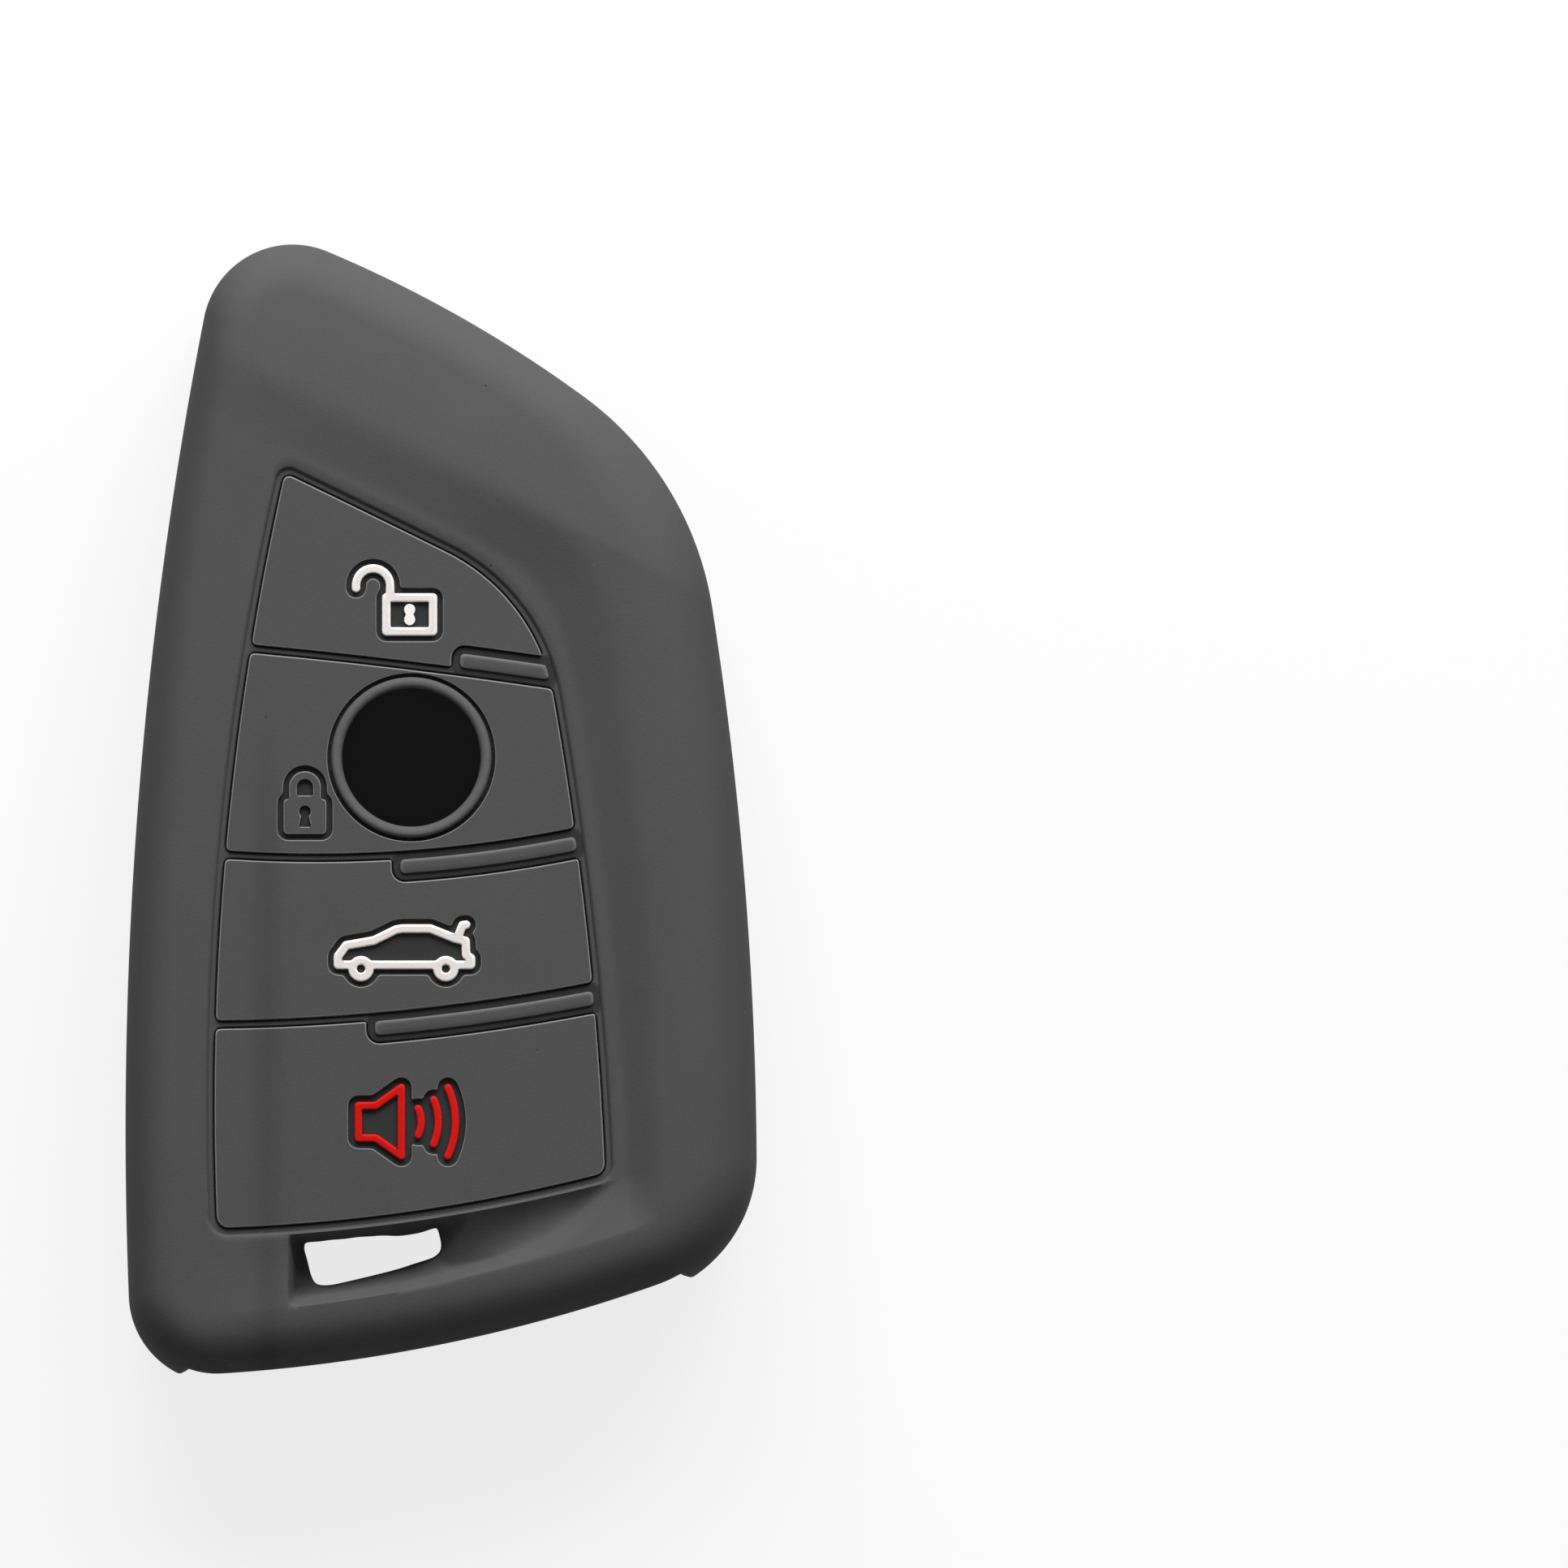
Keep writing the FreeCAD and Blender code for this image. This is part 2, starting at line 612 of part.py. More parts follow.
def keyhole(x, y, low, high):
    """Two discs, one above the other."""
    half = KEYHOLE_HEIGHT / 2
    return raised([disc(KEYHOLE_RADIUS, x, y + half), disc(KEYHOLE_RADIUS, x, y - half)], low, high)


def flared_keyhole(x, y, low, high):
    """Disc above a foot that widens downwards."""
    eye = y + KEYHOLE_HEIGHT / 2
    foot = eye - KEYHOLE_DROP
    w = KEYHOLE_WAIST / 2
    f = KEYHOLE_FOOT / 2
    flare = Part.Face(stroke_path([(x - f, foot), (x + f, foot), (x + w, eye), (x - w, eye)], True))
    return raised([disc(KEYHOLE_RADIUS, x, eye), flare], low, high)


def lock_icon(grow, low, high):
    """Shut padlock as a raised island."""
    x = LOCK_ICON_X
    y = LOCK_ICON_Y
    top = y + LOCK_BODY_HEIGHT / 2
    bend = top + LOCK_SHACKLE_LEG
    r = LOCK_SHACKLE_RADIUS + grow
    corner = LOCK_BODY_CORNER + grow
    body = rounded_box(LOCK_BODY_WIDTH + 2 * grow, LOCK_BODY_HEIGHT + 2 * grow, corner, x, y)
    legs = rounded_box(2 * r, bend - y, LOCK_HOLE_CORNER, x, (bend + y) / 2)
    island = raised([body, legs, disc(r, x, bend)], low, high)
    if grow > 0:
        return island
    hole_radius = LOCK_SHACKLE_RADIUS - STROKE
    sill = top + LOCK_HOLE_RAISE
    arch = rounded_box(2 * hole_radius, bend - sill, LOCK_HOLE_CORNER, x, (bend + sill) / 2)
    hole = raised([disc(hole_radius, x, bend), arch], low, high)
    return island.cut([hole, flared_keyhole(x, y, low, high)])


def boot_icon(grow, low, high):
    """Car in side view with its boot lid up."""
    x = BOOT_ICON_X
    y = BOOT_ICON_Y
    width = STROKE + 2 * grow
    hubs = [(x + FRONT_WHEEL_X, y - WHEEL_DROP), (x + REAR_WHEEL_X, y - WHEEL_DROP)]
    faces = [
        closed_stroke([(x + a, y + b) for a, b in BOOT_OUTLINE], width, grow > 0),
        open_stroke([(x + a, y + b) for a, b in BOOT_LID], width),
    ]
    car = raised(faces + [disc(WHEEL_RADIUS + width / 2, *h) for h in hubs], low, high)
    if grow > 0:
        return car
    return car.cut([raised([disc(WHEEL_RADIUS - STROKE / 2, *h)], low, high) for h in hubs])


def alarm_horn(grow, low, high):
    """Outline of a loudspeaker."""
    x = ALARM_ICON_X
    y = ALARM_ICON_Y
    t = HORN_THROAT / 2
    h = HORN_HEIGHT / 2
    points = [
        (x + HORN_BACK_X, y - t), (x + HORN_NECK_X, y - t), (x + HORN_FRONT_X, y - h),
        (x + HORN_FRONT_X, y + h), (x + HORN_NECK_X, y + t), (x + HORN_BACK_X, y + t),
    ]
    return raised([closed_stroke(points, ALARM_STROKE + 2 * grow, grow > 0)], low, high)


def alarm_waves(grow, low, high):
    """Three sound waves to the right of the loudspeaker, each a solid of its own."""
    y = ALARM_ICON_Y
    waves = []
    for a, height, bow in zip(WAVE_XS, WAVE_HEIGHTS, WAVE_BOWS):
        x = ALARM_ICON_X + a
        arc = [(x, y + height / 2), ((x + bow, y), (x, y - height / 2))]
        waves.append(raised([open_stroke(arc, ALARM_STROKE + 2 * grow)], low, high))
    return waves


def pockets(name):
    """Tools that sink the pocket of its pictogram into a pad."""
    span = (POCKET_Z, ABOVE_FRONT)
    if name == "unlock_pad":
        return [unlock_icon(POCKET_MARGIN, *span)]
    if name == "lock_pad":
        return [lock_icon(POCKET_MARGIN, *span)]
    if name == "boot_pad":
        return [boot_icon(POCKET_MARGIN, *span)]
    return [alarm_horn(ALARM_POCKET_MARGIN, *span)] + alarm_waves(ALARM_POCKET_MARGIN, *span)


def pad(name):
    """Push pad with the pocket of its pictogram; the lock pad also has the window."""
    tools = pockets(name)
    if name == "lock_pad":
        seat = WINDOW_RADIUS + BEAD_WIDTH + BEAD_GROOVE
        tools.append(Part.makeCylinder(WINDOW_RADIUS, ABOVE_FRONT, V(WINDOW_X, WINDOW_Y, 0)))
        tools.append(Part.makeCylinder(seat, ABOVE_FRONT, V(WINDOW_X, WINDOW_Y, PANEL_Z - BEAD_SEAT)))
    return pad_plan(name, 0, CAVITY_TOP, PANEL_Z).cut(tools)


def whole_cover():
    """Every node of the cover by name."""
    nodes = {"cover_sleeve": cover_sleeve()}
    for name in PAD_SIDES:
        nodes[name] = pad(name)
        nodes[name.replace("_pad", "_web")] = pad_web(name)
    for name in RIBS:
        nodes[name] = rib(name)
    nodes["window_bead"] = window_bead()
    ink = (POCKET_Z, PANEL_Z - ICON_SET_DOWN)
    nodes["unlock_icon"] = unlock_icon(0, *ink)
    nodes["unlock_keyhole"] = keyhole(UNLOCK_ICON_X, UNLOCK_ICON_Y, *ink)
    nodes["lock_icon"] = lock_icon(0, *ink)
    nodes["boot_icon"] = boot_icon(0, *ink)
    nodes["alarm_horn"] = alarm_horn(0, *ink)
    nodes["alarm_waves"] = Part.makeCompound(alarm_waves(0, *ink))
    return nodes


os.makedirs("parts", exist_ok=True)
cover = whole_cover()
box = cover["cover_sleeve"].optimalBoundingBox(False)
home = V(-box.Center.x, -box.Center.y, -box.ZMin)
print("sleeve size", round(box.XLength, 3), round(box.YLength, 3), round(box.ZLength, 3))
print("shift to the origin", home)
for node, shape in cover.items():
    shape.translate(home)
    solids = shape.Solids
    print(node, len(solids), shape.isValid(), round(sum(s.Volume for s in solids), 3))
    Part.makeCompound(solids).exportStep("parts/" + node + ".step")
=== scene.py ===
# %% [markdown]
# # A silicone key fob cover
# The object is one soft moulding: a blade-shaped sleeve with a button field on its front,
# a round window, a slot for a key ring and a mouth along its lower edge.
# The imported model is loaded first, as a fixed frame. It says where every piece is and what moves,
# so each surface made below goes straight to its place, with no fitting by eye.

# %% Load the fixed frame
import math

import bmesh
import bpy
import numpy as np
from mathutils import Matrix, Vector
from mathutils.geometry import delaunay_2d_cdt


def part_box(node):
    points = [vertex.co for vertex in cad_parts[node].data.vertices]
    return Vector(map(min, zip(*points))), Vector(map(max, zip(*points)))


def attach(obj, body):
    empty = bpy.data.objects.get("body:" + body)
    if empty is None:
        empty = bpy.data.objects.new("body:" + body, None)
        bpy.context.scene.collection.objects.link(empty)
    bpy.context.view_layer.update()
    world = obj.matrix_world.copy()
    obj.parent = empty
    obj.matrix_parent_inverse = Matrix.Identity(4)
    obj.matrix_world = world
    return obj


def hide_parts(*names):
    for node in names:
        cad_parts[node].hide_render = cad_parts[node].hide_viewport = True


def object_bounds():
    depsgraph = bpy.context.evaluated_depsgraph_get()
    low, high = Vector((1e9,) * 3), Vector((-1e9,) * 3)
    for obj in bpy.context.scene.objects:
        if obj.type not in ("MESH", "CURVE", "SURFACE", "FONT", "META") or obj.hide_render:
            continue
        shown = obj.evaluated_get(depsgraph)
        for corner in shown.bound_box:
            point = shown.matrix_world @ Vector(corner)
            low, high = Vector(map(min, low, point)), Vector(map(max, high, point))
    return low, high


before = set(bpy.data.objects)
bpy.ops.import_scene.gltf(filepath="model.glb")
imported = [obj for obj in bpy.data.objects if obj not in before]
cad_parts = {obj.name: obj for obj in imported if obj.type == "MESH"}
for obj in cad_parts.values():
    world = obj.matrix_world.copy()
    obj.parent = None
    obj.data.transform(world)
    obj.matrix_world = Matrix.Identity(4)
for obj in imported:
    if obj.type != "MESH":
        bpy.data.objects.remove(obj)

cad_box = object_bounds()
MM = 0.001

# %% [markdown]
# ## Camera
# The photograph looks straight down on the cover, and its edges run parallel.
# An orthographic camera does the same. The photograph's scale, in millimetres per pixel,
# gives the width of the picture and how far the cover lies from its middle.

# %% Camera straight above
PHOTO_PIXELS = 1932
MM_PER_PIXEL = 0.06389
COVER_CENTRE_PIXEL = (543.5, 997.0)
CAMERA_HEIGHT = 400.0

middle_pixel = PHOTO_PIXELS / 2
camera_x = (middle_pixel - COVER_CENTRE_PIXEL[0]) * MM_PER_PIXEL
camera_y = (COVER_CENTRE_PIXEL[1] - middle_pixel) * MM_PER_PIXEL
camera_data = bpy.data.cameras.new("camera")
camera_data.type = "ORTHO"
camera_data.ortho_scale = PHOTO_PIXELS * MM_PER_PIXEL * MM
camera = bpy.data.objects.new("camera", camera_data)
camera.location = (camera_x * MM, camera_y * MM, CAMERA_HEIGHT * MM)
bpy.context.scene.collection.objects.link(camera)
bpy.context.scene.camera = camera
print("picture width in mm:", round(camera_data.ortho_scale / MM, 2))

# %% [markdown]
# ## From arrays to a mesh
# Every piece is worked out in millimetres as arrays of points and of faces.
# One helper joins the arrays of a piece, welds the seams where patches meet, turns the faces outwards,
# scales to metres and ties the piece to the frame: the body that it rides on, the pieces of the frame
# that it stands for, and the name of its finish. Two values travel with each point: `rim` marks what is
# painted paler, such as the thin line along moulded edges, the painted highlight on the bead's crown and
# the painted light in the bottom of the hollow, and `shade` marks painted shade in hollows and channels.

# %% Helpers that turn arrays into pieces
WELD = 0.0004
HAIR = WELD / 10
SHARP_ANGLE = math.radians(50)
pieces_by_finish = {}


def grid_faces(rows, columns):
    """Quads of a grid, row by row: a point, the next in its row, and the two in the row after.

    The last column is joined to the first, so the grid closes on itself.
    """
    row, column = np.meshgrid(np.arange(rows - 1), np.arange(columns), indexing="ij")
    right = (column + 1) % columns
    corners = (row * columns + column, row * columns + right,
               (row + 1) * columns + right, (row + 1) * columns + column)
    return np.stack(corners, axis=-1).reshape(-1, 4)


def weld(mesh):
    """Joins points that meet, turns the faces outwards and returns the number of open edges."""
    work = bmesh.new()
    work.from_mesh(mesh)
    loose = [point for point in work.verts if not point.link_faces]
    bmesh.ops.delete(work, geom=loose, context="VERTS")
    bmesh.ops.remove_doubles(work, verts=work.verts, dist=WELD)
    bmesh.ops.dissolve_degenerate(work, edges=work.edges, dist=HAIR)
    bmesh.ops.recalc_face_normals(work, faces=work.faces)
    open_edges = sum(1 for edge in work.edges if not edge.is_manifold)
    work.to_mesh(mesh)
    work.free()
    return open_edges


class Patches:
    """Collects the patches of one piece: points, faces and the two painted values."""

    def __init__(self):
        self.points, self.faces, self.rim, self.shade = [], [], [], []
        self.count = 0

    def add(self, points, faces, rim=0.0, shade=0.0):
        """Adds points and the faces between them, which are numbered from the patch's own first point."""
        points = np.asarray(points, float).reshape(-1, 3)
        self.points.append(points)
        self.faces.append(np.asarray(faces, int) + self.count)
        self.rim.append(np.broadcast_to(np.ravel(rim), len(points)))
        self.shade.append(np.broadcast_to(np.ravel(shade), len(points)))
        self.count += len(points)

    def piece(self, name, body, finish, *nodes):
        """Makes the mesh object in metres: it rides on a body and stands for the named nodes."""
        mesh = bpy.data.meshes.new(name)
        faces = [face for block in self.faces for face in block.tolist()]
        mesh.from_pydata(np.concatenate(self.points).tolist(), [], faces)
        for label, values in (("rim", self.rim), ("shade", self.shade)):
            attribute = mesh.attributes.new(label, "FLOAT", "POINT")
            attribute.data.foreach_set("value", np.concatenate(values).astype(np.float32))
        open_edges = weld(mesh)
        coordinates = np.zeros(len(mesh.vertices) * 3)
        mesh.vertices.foreach_get("co", coordinates)
        mesh.vertices.foreach_set("co", coordinates * MM)
        mesh.shade_smooth()
        mesh.set_sharp_from_angle(angle=SHARP_ANGLE)
        mesh.update()
        thing = bpy.data.objects.new(name, mesh)
        bpy.context.scene.collection.objects.link(thing)
        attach(thing, body)
        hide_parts(*nodes)
        pieces_by_finish.setdefault(finish, []).append(thing)
        triangles = sum(len(face.vertices) - 2 for face in mesh.polygons)
        print(name, "triangles:", triangles, "open edges:", open_edges)


# %% [markdown]
# ## The outline of the cover
# Seen from the front, the cover is four gently bowed sides joined by four round corners.
# Each side is an arc of a large circle. The button field has four bowed sides of its own.
# A whole family of outlines leads from the one to the other: place, direction and bow of each side
# change in step. The rows of that family become the rows of the sleeve's surface.

# %% Bowed sides
LEFT, TOP, RIGHT, BOTTOM = range(4)
TOP_SLOPE = 28.5
BOTTOM_SLOPE = 11.4
ORIGIN_SHIFT = (-0.0475, 0.123)
side_points = np.array([(-24.8, -25.4), (0.0, 39.5), (24.9, -29.3), (0.0, -43.0)]) + ORIGIN_SHIFT
side_angles = np.radians([180.0, 90.0 - TOP_SLOPE, 0.0, BOTTOM_SLOPE - 90.0])
side_radii = np.array([334.0, 100.0, 291.5, 128.0])
CORNER_RADII = np.array([7.1, 25.4, 11.2, 7.0])

FIELD_TOP_SLOPE = 26.3
FIELD_BOTTOM_SLOPE = 9.0
MOAT_WIDTH = 0.64
field_points = np.array([(-17.8, -23.4), (0.0, 20.35), (13.18, -39.8), (0.0, -31.47)]) + ORIGIN_SHIFT
field_angles = np.radians([180.0, 90.0 - FIELD_TOP_SLOPE, 0.0, FIELD_BOTTOM_SLOPE - 90.0])
field_radii = np.array([226.5, 1500.0, 278.0, 138.0])
RIM_INSETS = np.array([6.36, 16.34, 11.08, 10.86])


def directions(angles):
    """Unit vectors at given angles: cosine and sine."""
    return np.stack((np.cos(angles), np.sin(angles)), axis=-1)


outward = directions(side_angles)
field_outward = directions(field_angles)
side_centres = side_points - outward * side_radii[:, None]
field_centres = field_points - field_outward * field_radii[:, None]


def side_depths(x, y):
    """Distance in from each of the four sides: its circle's radius less the distance to its centre."""
    away = np.hypot(x[..., None] - side_centres[:, 0], y[..., None] - side_centres[:, 1])
    return side_radii - away


def field_gaps(x, y):
    """Distance out from each of the field's four sides: the distance to its centre less its radius."""
    away = np.hypot(x[..., None] - field_centres[:, 0], y[..., None] - field_centres[:, 1])
    return away - field_radii


def side_circles(insets, share):
    """Centres and radii of the four sides of each row.

    A side is blended by its share between the arc of the outline and the rim of the field:
    place, direction and curvature each go from one to the other in step with the share.
    """
    share = share[:, None]
    past = insets - RIM_INSETS - MOAT_WIDTH
    angles = (1 - share) * side_angles + share * field_angles
    on_outline = side_points - outward * insets[..., None]
    on_field = field_points - field_outward * past[..., None]
    points = (1 - share)[..., None] * on_outline + share[..., None] * on_field
    radii = 1 / ((1 - share) / (side_radii - insets) + share / (field_radii - past))
    return points - radii[..., None] * directions(angles), radii


def corner_centres(centres, radii, corner, i):
    """Centre of the round corner after side i: where two shrunken circles cross, nearer to the middle."""
    j = (i + 1) % 4
    first, second = centres[:, i], centres[:, j]
    a, b = radii[:, i] - corner, radii[:, j] - corner
    span = np.linalg.norm(second - first, axis=1)
    along = (span ** 2 + a ** 2 - b ** 2) / (2 * span)
    across = np.sqrt(a ** 2 - along ** 2)
    direction = (second - first) / span[:, None]
    foot = first + along[:, None] * direction
    aside = across[:, None] * np.stack((-direction[:, 1], direction[:, 0]), axis=1)
    nearer = np.hypot(*(foot + aside).T) < np.hypot(*(foot - aside).T)
    return np.where(nearer[:, None], foot + aside, foot - aside)


def arc(centre, radius, start, end, share):
    """Points on an arc taken clockwise from start to end, at shares of its angle."""
    a = np.arctan2(start[:, 1] - centre[:, 1], start[:, 0] - centre[:, 0])
    b = np.arctan2(end[:, 1] - centre[:, 1], end[:, 0] - centre[:, 0])
    sweep = np.mod(a - b, 2 * np.pi)
    ring = directions(a[:, None] - sweep[:, None] * share)
    return centre[:, None, :] + radius[:, None, None] * ring


print("the field's sides lie in from the outline by:", RIM_INSETS)

# %% [markdown]
# The columns of the grid run along the outline. Most stretches have evenly spaced columns.
# Along the lower side the scoop and the key ring slot need theirs at fixed places,
# so there the columns are rays from the centre of the lower side's circle.

# %% Columns along the outline
SIDE_COLUMNS = (64, 44, 40)
CORNER_COLUMNS = (36, 48, 64, 48)
SLOT_ENDS = (0.15, -10.7)
RAY_STOPS = (8.5, SLOT_ENDS[0], SLOT_ENDS[1], -11.2, -12.3, -14.0)
RAY_COUNTS = (28, 42, 6, 9, 7)
OUTER_COUNTS = (14, 12)
SCOOP_MIDDLE = 8.2

ray_xs = np.concatenate([np.linspace(a, b, n, endpoint=False)
                         for a, b, n in zip(RAY_STOPS, RAY_STOPS[1:], RAY_COUNTS)] + [RAY_STOPS[-1:]])
ray_radius = side_radii[BOTTOM] - SCOOP_MIDDLE
ray_angles = -np.arccos((ray_xs - side_centres[BOTTOM, 0]) / ray_radius)


def lower_side(centre, radius, start, end):
    """Lower side of each row: even steps to the first ray, the rays, then even steps to the end.

    All lie on rays from the hub. A ray meets the row's circle where the quadratic equation says.
    """
    hub = side_centres[BOTTOM]
    a = np.arctan2(start[:, 1] - hub[1], start[:, 0] - hub[0])
    b = np.arctan2(end[:, 1] - hub[1], end[:, 0] - hub[0])
    before = np.linspace(0, 1, OUTER_COUNTS[0], endpoint=False)
    after = np.linspace(0, 1, OUTER_COUNTS[1] + 1)[1:-1]
    ray = directions(np.concatenate((
        a[:, None] + (ray_angles[0] - a)[:, None] * before,
        np.broadcast_to(ray_angles, (len(a), len(ray_angles))),
        ray_angles[-1] + (b - ray_angles[-1])[:, None] * after), axis=1))
    aside = (centre - hub)[:, None, :]
    along = (ray * aside).sum(axis=-1)
    reach = along + np.sqrt(radius[:, None] ** 2 - (aside ** 2).sum(axis=-1) + along ** 2)
    return hub + reach[..., None] * ray


def outline_rows(insets, corners, share=None):
    """One closed outline per row: each side moved in by its inset, each corner rounded by its radius."""
    share = np.zeros(len(insets)) if share is None else share
    centres, radii = side_circles(insets, share)
    turns = [corner_centres(centres, radii, corners[:, i], i) for i in range(4)]
    pieces = []
    ends, starts = [None] * 4, [None] * 4
    for i in range(4):
        j = (i + 1) % 4
        for side, store in ((i, ends), (j, starts)):
            way = turns[i] - centres[:, side]
            length = np.linalg.norm(way, axis=1)
            store[side] = centres[:, side] + way * (radii[:, side] / length)[:, None]
    for i in range(4):
        if i == BOTTOM:
            pieces.append(lower_side(centres[:, i], radii[:, i], starts[i], ends[i]))
        else:
            steps = np.linspace(0, 1, SIDE_COLUMNS[i], endpoint=False)
            pieces.append(arc(centres[:, i], radii[:, i], starts[i], ends[i], steps))
        steps = np.linspace(0, 1, CORNER_COLUMNS[i], endpoint=False)
        pieces.append(arc(turns[i], corners[:, i], ends[i], starts[(i + 1) % 4], steps))
    return np.concatenate(pieces, axis=1)


silhouette = outline_rows(np.zeros((1, 4)), CORNER_RADII[None, :])[0]
print("columns:", len(silhouette), "from", silhouette.min(0).round(2), "to", silhouette.max(0).round(2))

# %% [markdown]
# ## The relief of the two faces
# The front is not one plane. A bezel falls away to the tip, a sloping band leads down to a sunk panel,
# and a scoop with a steep upper wall lies over the key ring slot. All of it is written as one height
# for each place, so that sleeve, pads and pictograms share the same ground.
# The back has the same forms, a little shallower.

# %% Ramps, and the band round the panel
FOOT_BLEND = 0.1
CREST_BLENDS = (0.13, 0.3)


def lifted(t, blend):
    """The larger of 0 and t, with a parabola over the blend in place of the kink."""
    return np.where(t < -blend, 0, np.where(t > blend, t, (t + blend) ** 2 / (4 * blend)))


def soft_step(t, crest=CREST_BLENDS[0]):
    """Ramp from 0 to 1, rounded at its foot and crest: a lifted line less another that starts at 1."""
    return lifted(t, FOOT_BLEND) - lifted(t - 1, crest)


def rounded_ramp(t):
    """Smooth ramp from 0 to 1: three t squared less two t cubed."""
    t = np.clip(t, 0, 1)
    return t * t * (3 - 2 * t)


def ramp_over(x, span):
    """The smooth ramp laid over a span of x: 0 at its start, 1 at its end."""
    return rounded_ramp((x - span[0]) / (span[1] - span[0]))


TOP_BAND = (2.1, 6.1)
RIGHT_FOOT = 1.87
RIGHT_CREST = 7.9
BOTTOM_BAND = (9.6, 5.45)
BOTTOM_BAND_POWER = 1.6
BOTTOM_BAND_X = (-22.0, -12.0)
SHOULDER_TURN = 2.0


def band_share(x, depths, gaps):
    """0 on the sunk panel, 1 from the crest outwards, a ramp along the band between them.

    The ramps of the top and the right meet in a rounded shoulder: the logarithm of summed exponentials.
    The crest is crisp at the top and soft at the right. The lower ramp joins in: the sum less the product.
    """
    top = (gaps[..., TOP] - TOP_BAND[0]) / (TOP_BAND[1] - TOP_BAND[0])
    past_foot = gaps[..., RIGHT] - RIGHT_FOOT
    right = past_foot / (past_foot + depths[..., RIGHT] - RIGHT_CREST)
    low = (BOTTOM_BAND[0] - depths[..., BOTTOM]) / (BOTTOM_BAND[0] - BOTTOM_BAND[1])
    upper = np.logaddexp(SHOULDER_TURN * top, SHOULDER_TURN * right) / SHOULDER_TURN
    lower = np.clip(low, 0, 1) ** BOTTOM_BAND_POWER * ramp_over(x, BOTTOM_BAND_X)
    side = np.exp(SHOULDER_TURN * (right - upper))
    crest = CREST_BLENDS[0] + (CREST_BLENDS[1] - CREST_BLENDS[0]) * side
    upper = soft_step(upper, crest)
    return upper + lower - upper * lower


probe_x = np.array([-20.0, 0.0, 20.0])
probe_y = np.zeros_like(probe_x)
probe_share = band_share(probe_x, side_depths(probe_x, probe_y), field_gaps(probe_x, probe_y))
print("band at x", probe_x, "is", probe_share.round(2))

# %% [markdown]
# The panel carries the buttons. It is nearly level, dips at the right and has a soft upright crease at
# the left, which fades towards the top. Beyond the band, the bezel falls away towards the tip.
# Each is one term of the height, so that it can be set without touching the others.

# %% Panel, crease and tip
PANEL_Z = 15.7
PANEL_DIP = 0.45
PANEL_DIP_X = (-2.0, 14.0)
CREASE_X = (-14.5, -12.9)
CREASE_STEP = 0.14
CREASE_TOP = 10.0
CREASE_FADE = 16.0
CREASE_SHADE = 0.2
LEFT_SLOPE = 0.03


def crease_fade(y):
    """Strength of the crease: whole at the bottom, none at the top."""
    return rounded_ramp((CREASE_TOP - y) / CREASE_FADE)


def panel_height(x, y):
    """The sunk panel: a level, less the crease's step and the right dip, plus a slope at the left."""
    step = 1 - ramp_over(x, CREASE_X)
    slope = LEFT_SLOPE * np.clip(CREASE_X[0] - x, 0, None)
    dip = PANEL_DIP * ramp_over(x, PANEL_DIP_X)
    return PANEL_Z - CREASE_STEP * step * crease_fade(y) + slope - dip


def crease_shade(x, y):
    """Painted shade along the crease: a bell curve across it, which fades as the crease does."""
    across = (x - (CREASE_X[0] + CREASE_X[1]) / 2) / (CREASE_X[1] - CREASE_X[0])
    return CREASE_SHADE * np.exp(-(2 * across) ** 2 / 2) * crease_fade(y)


FACET_FALL = 0.165
FACET_BOW = 0.005
FACET_BLEND = 0.1


def tip_fall(gaps):
    """Drop of the bezel beyond the crest: a gentle slope that steepens towards the tip."""
    past = np.clip(gaps[..., TOP] - TOP_BAND[1], 0, None)
    return FACET_FALL * past ** 2 / (past + FACET_BLEND) + FACET_BOW * past ** 2


print("panel at x", probe_x, "is", panel_height(probe_x, probe_y).round(2))

# %% [markdown]
# The scoop is a long drop-shaped hollow. Its upper wall follows the button field. Its lower edge keeps
# to the bottom of the cover and then swings up to meet the upper wall in a point, at the right.
# Beside the slot its floor is level. Further right it turns into a shallow trough below a ridge.

# %% The scoop
TINY = 1e-6
SCOOP_LOW = 5.5
SCOOP_MEET = 9.6
SCOOP_TOP = 0.75
SCOOP_LEFT = -12.1
SCOOP_RIGHT = 14.2
SCOOP_SWING = (8.0, 6.3)
SCOOP_DEPTH = 3.4
SCOOP_FADE = (-2.0, 8.7)
SCOOP_RUNS = {"low": 1.15, "high": 0.85, "left": 0.9, "right": 3.6}
TROUGH_X = (-1.0, 2.5)
TROUGH_DEEPEST = (0.8, 0.45)
TROUGH_DEEPEST_X = (4.0, 12.0)
TROUGH_POWER = (1.1, 2.0)
TROUGH_POWER_X = (1.0, 5.5)


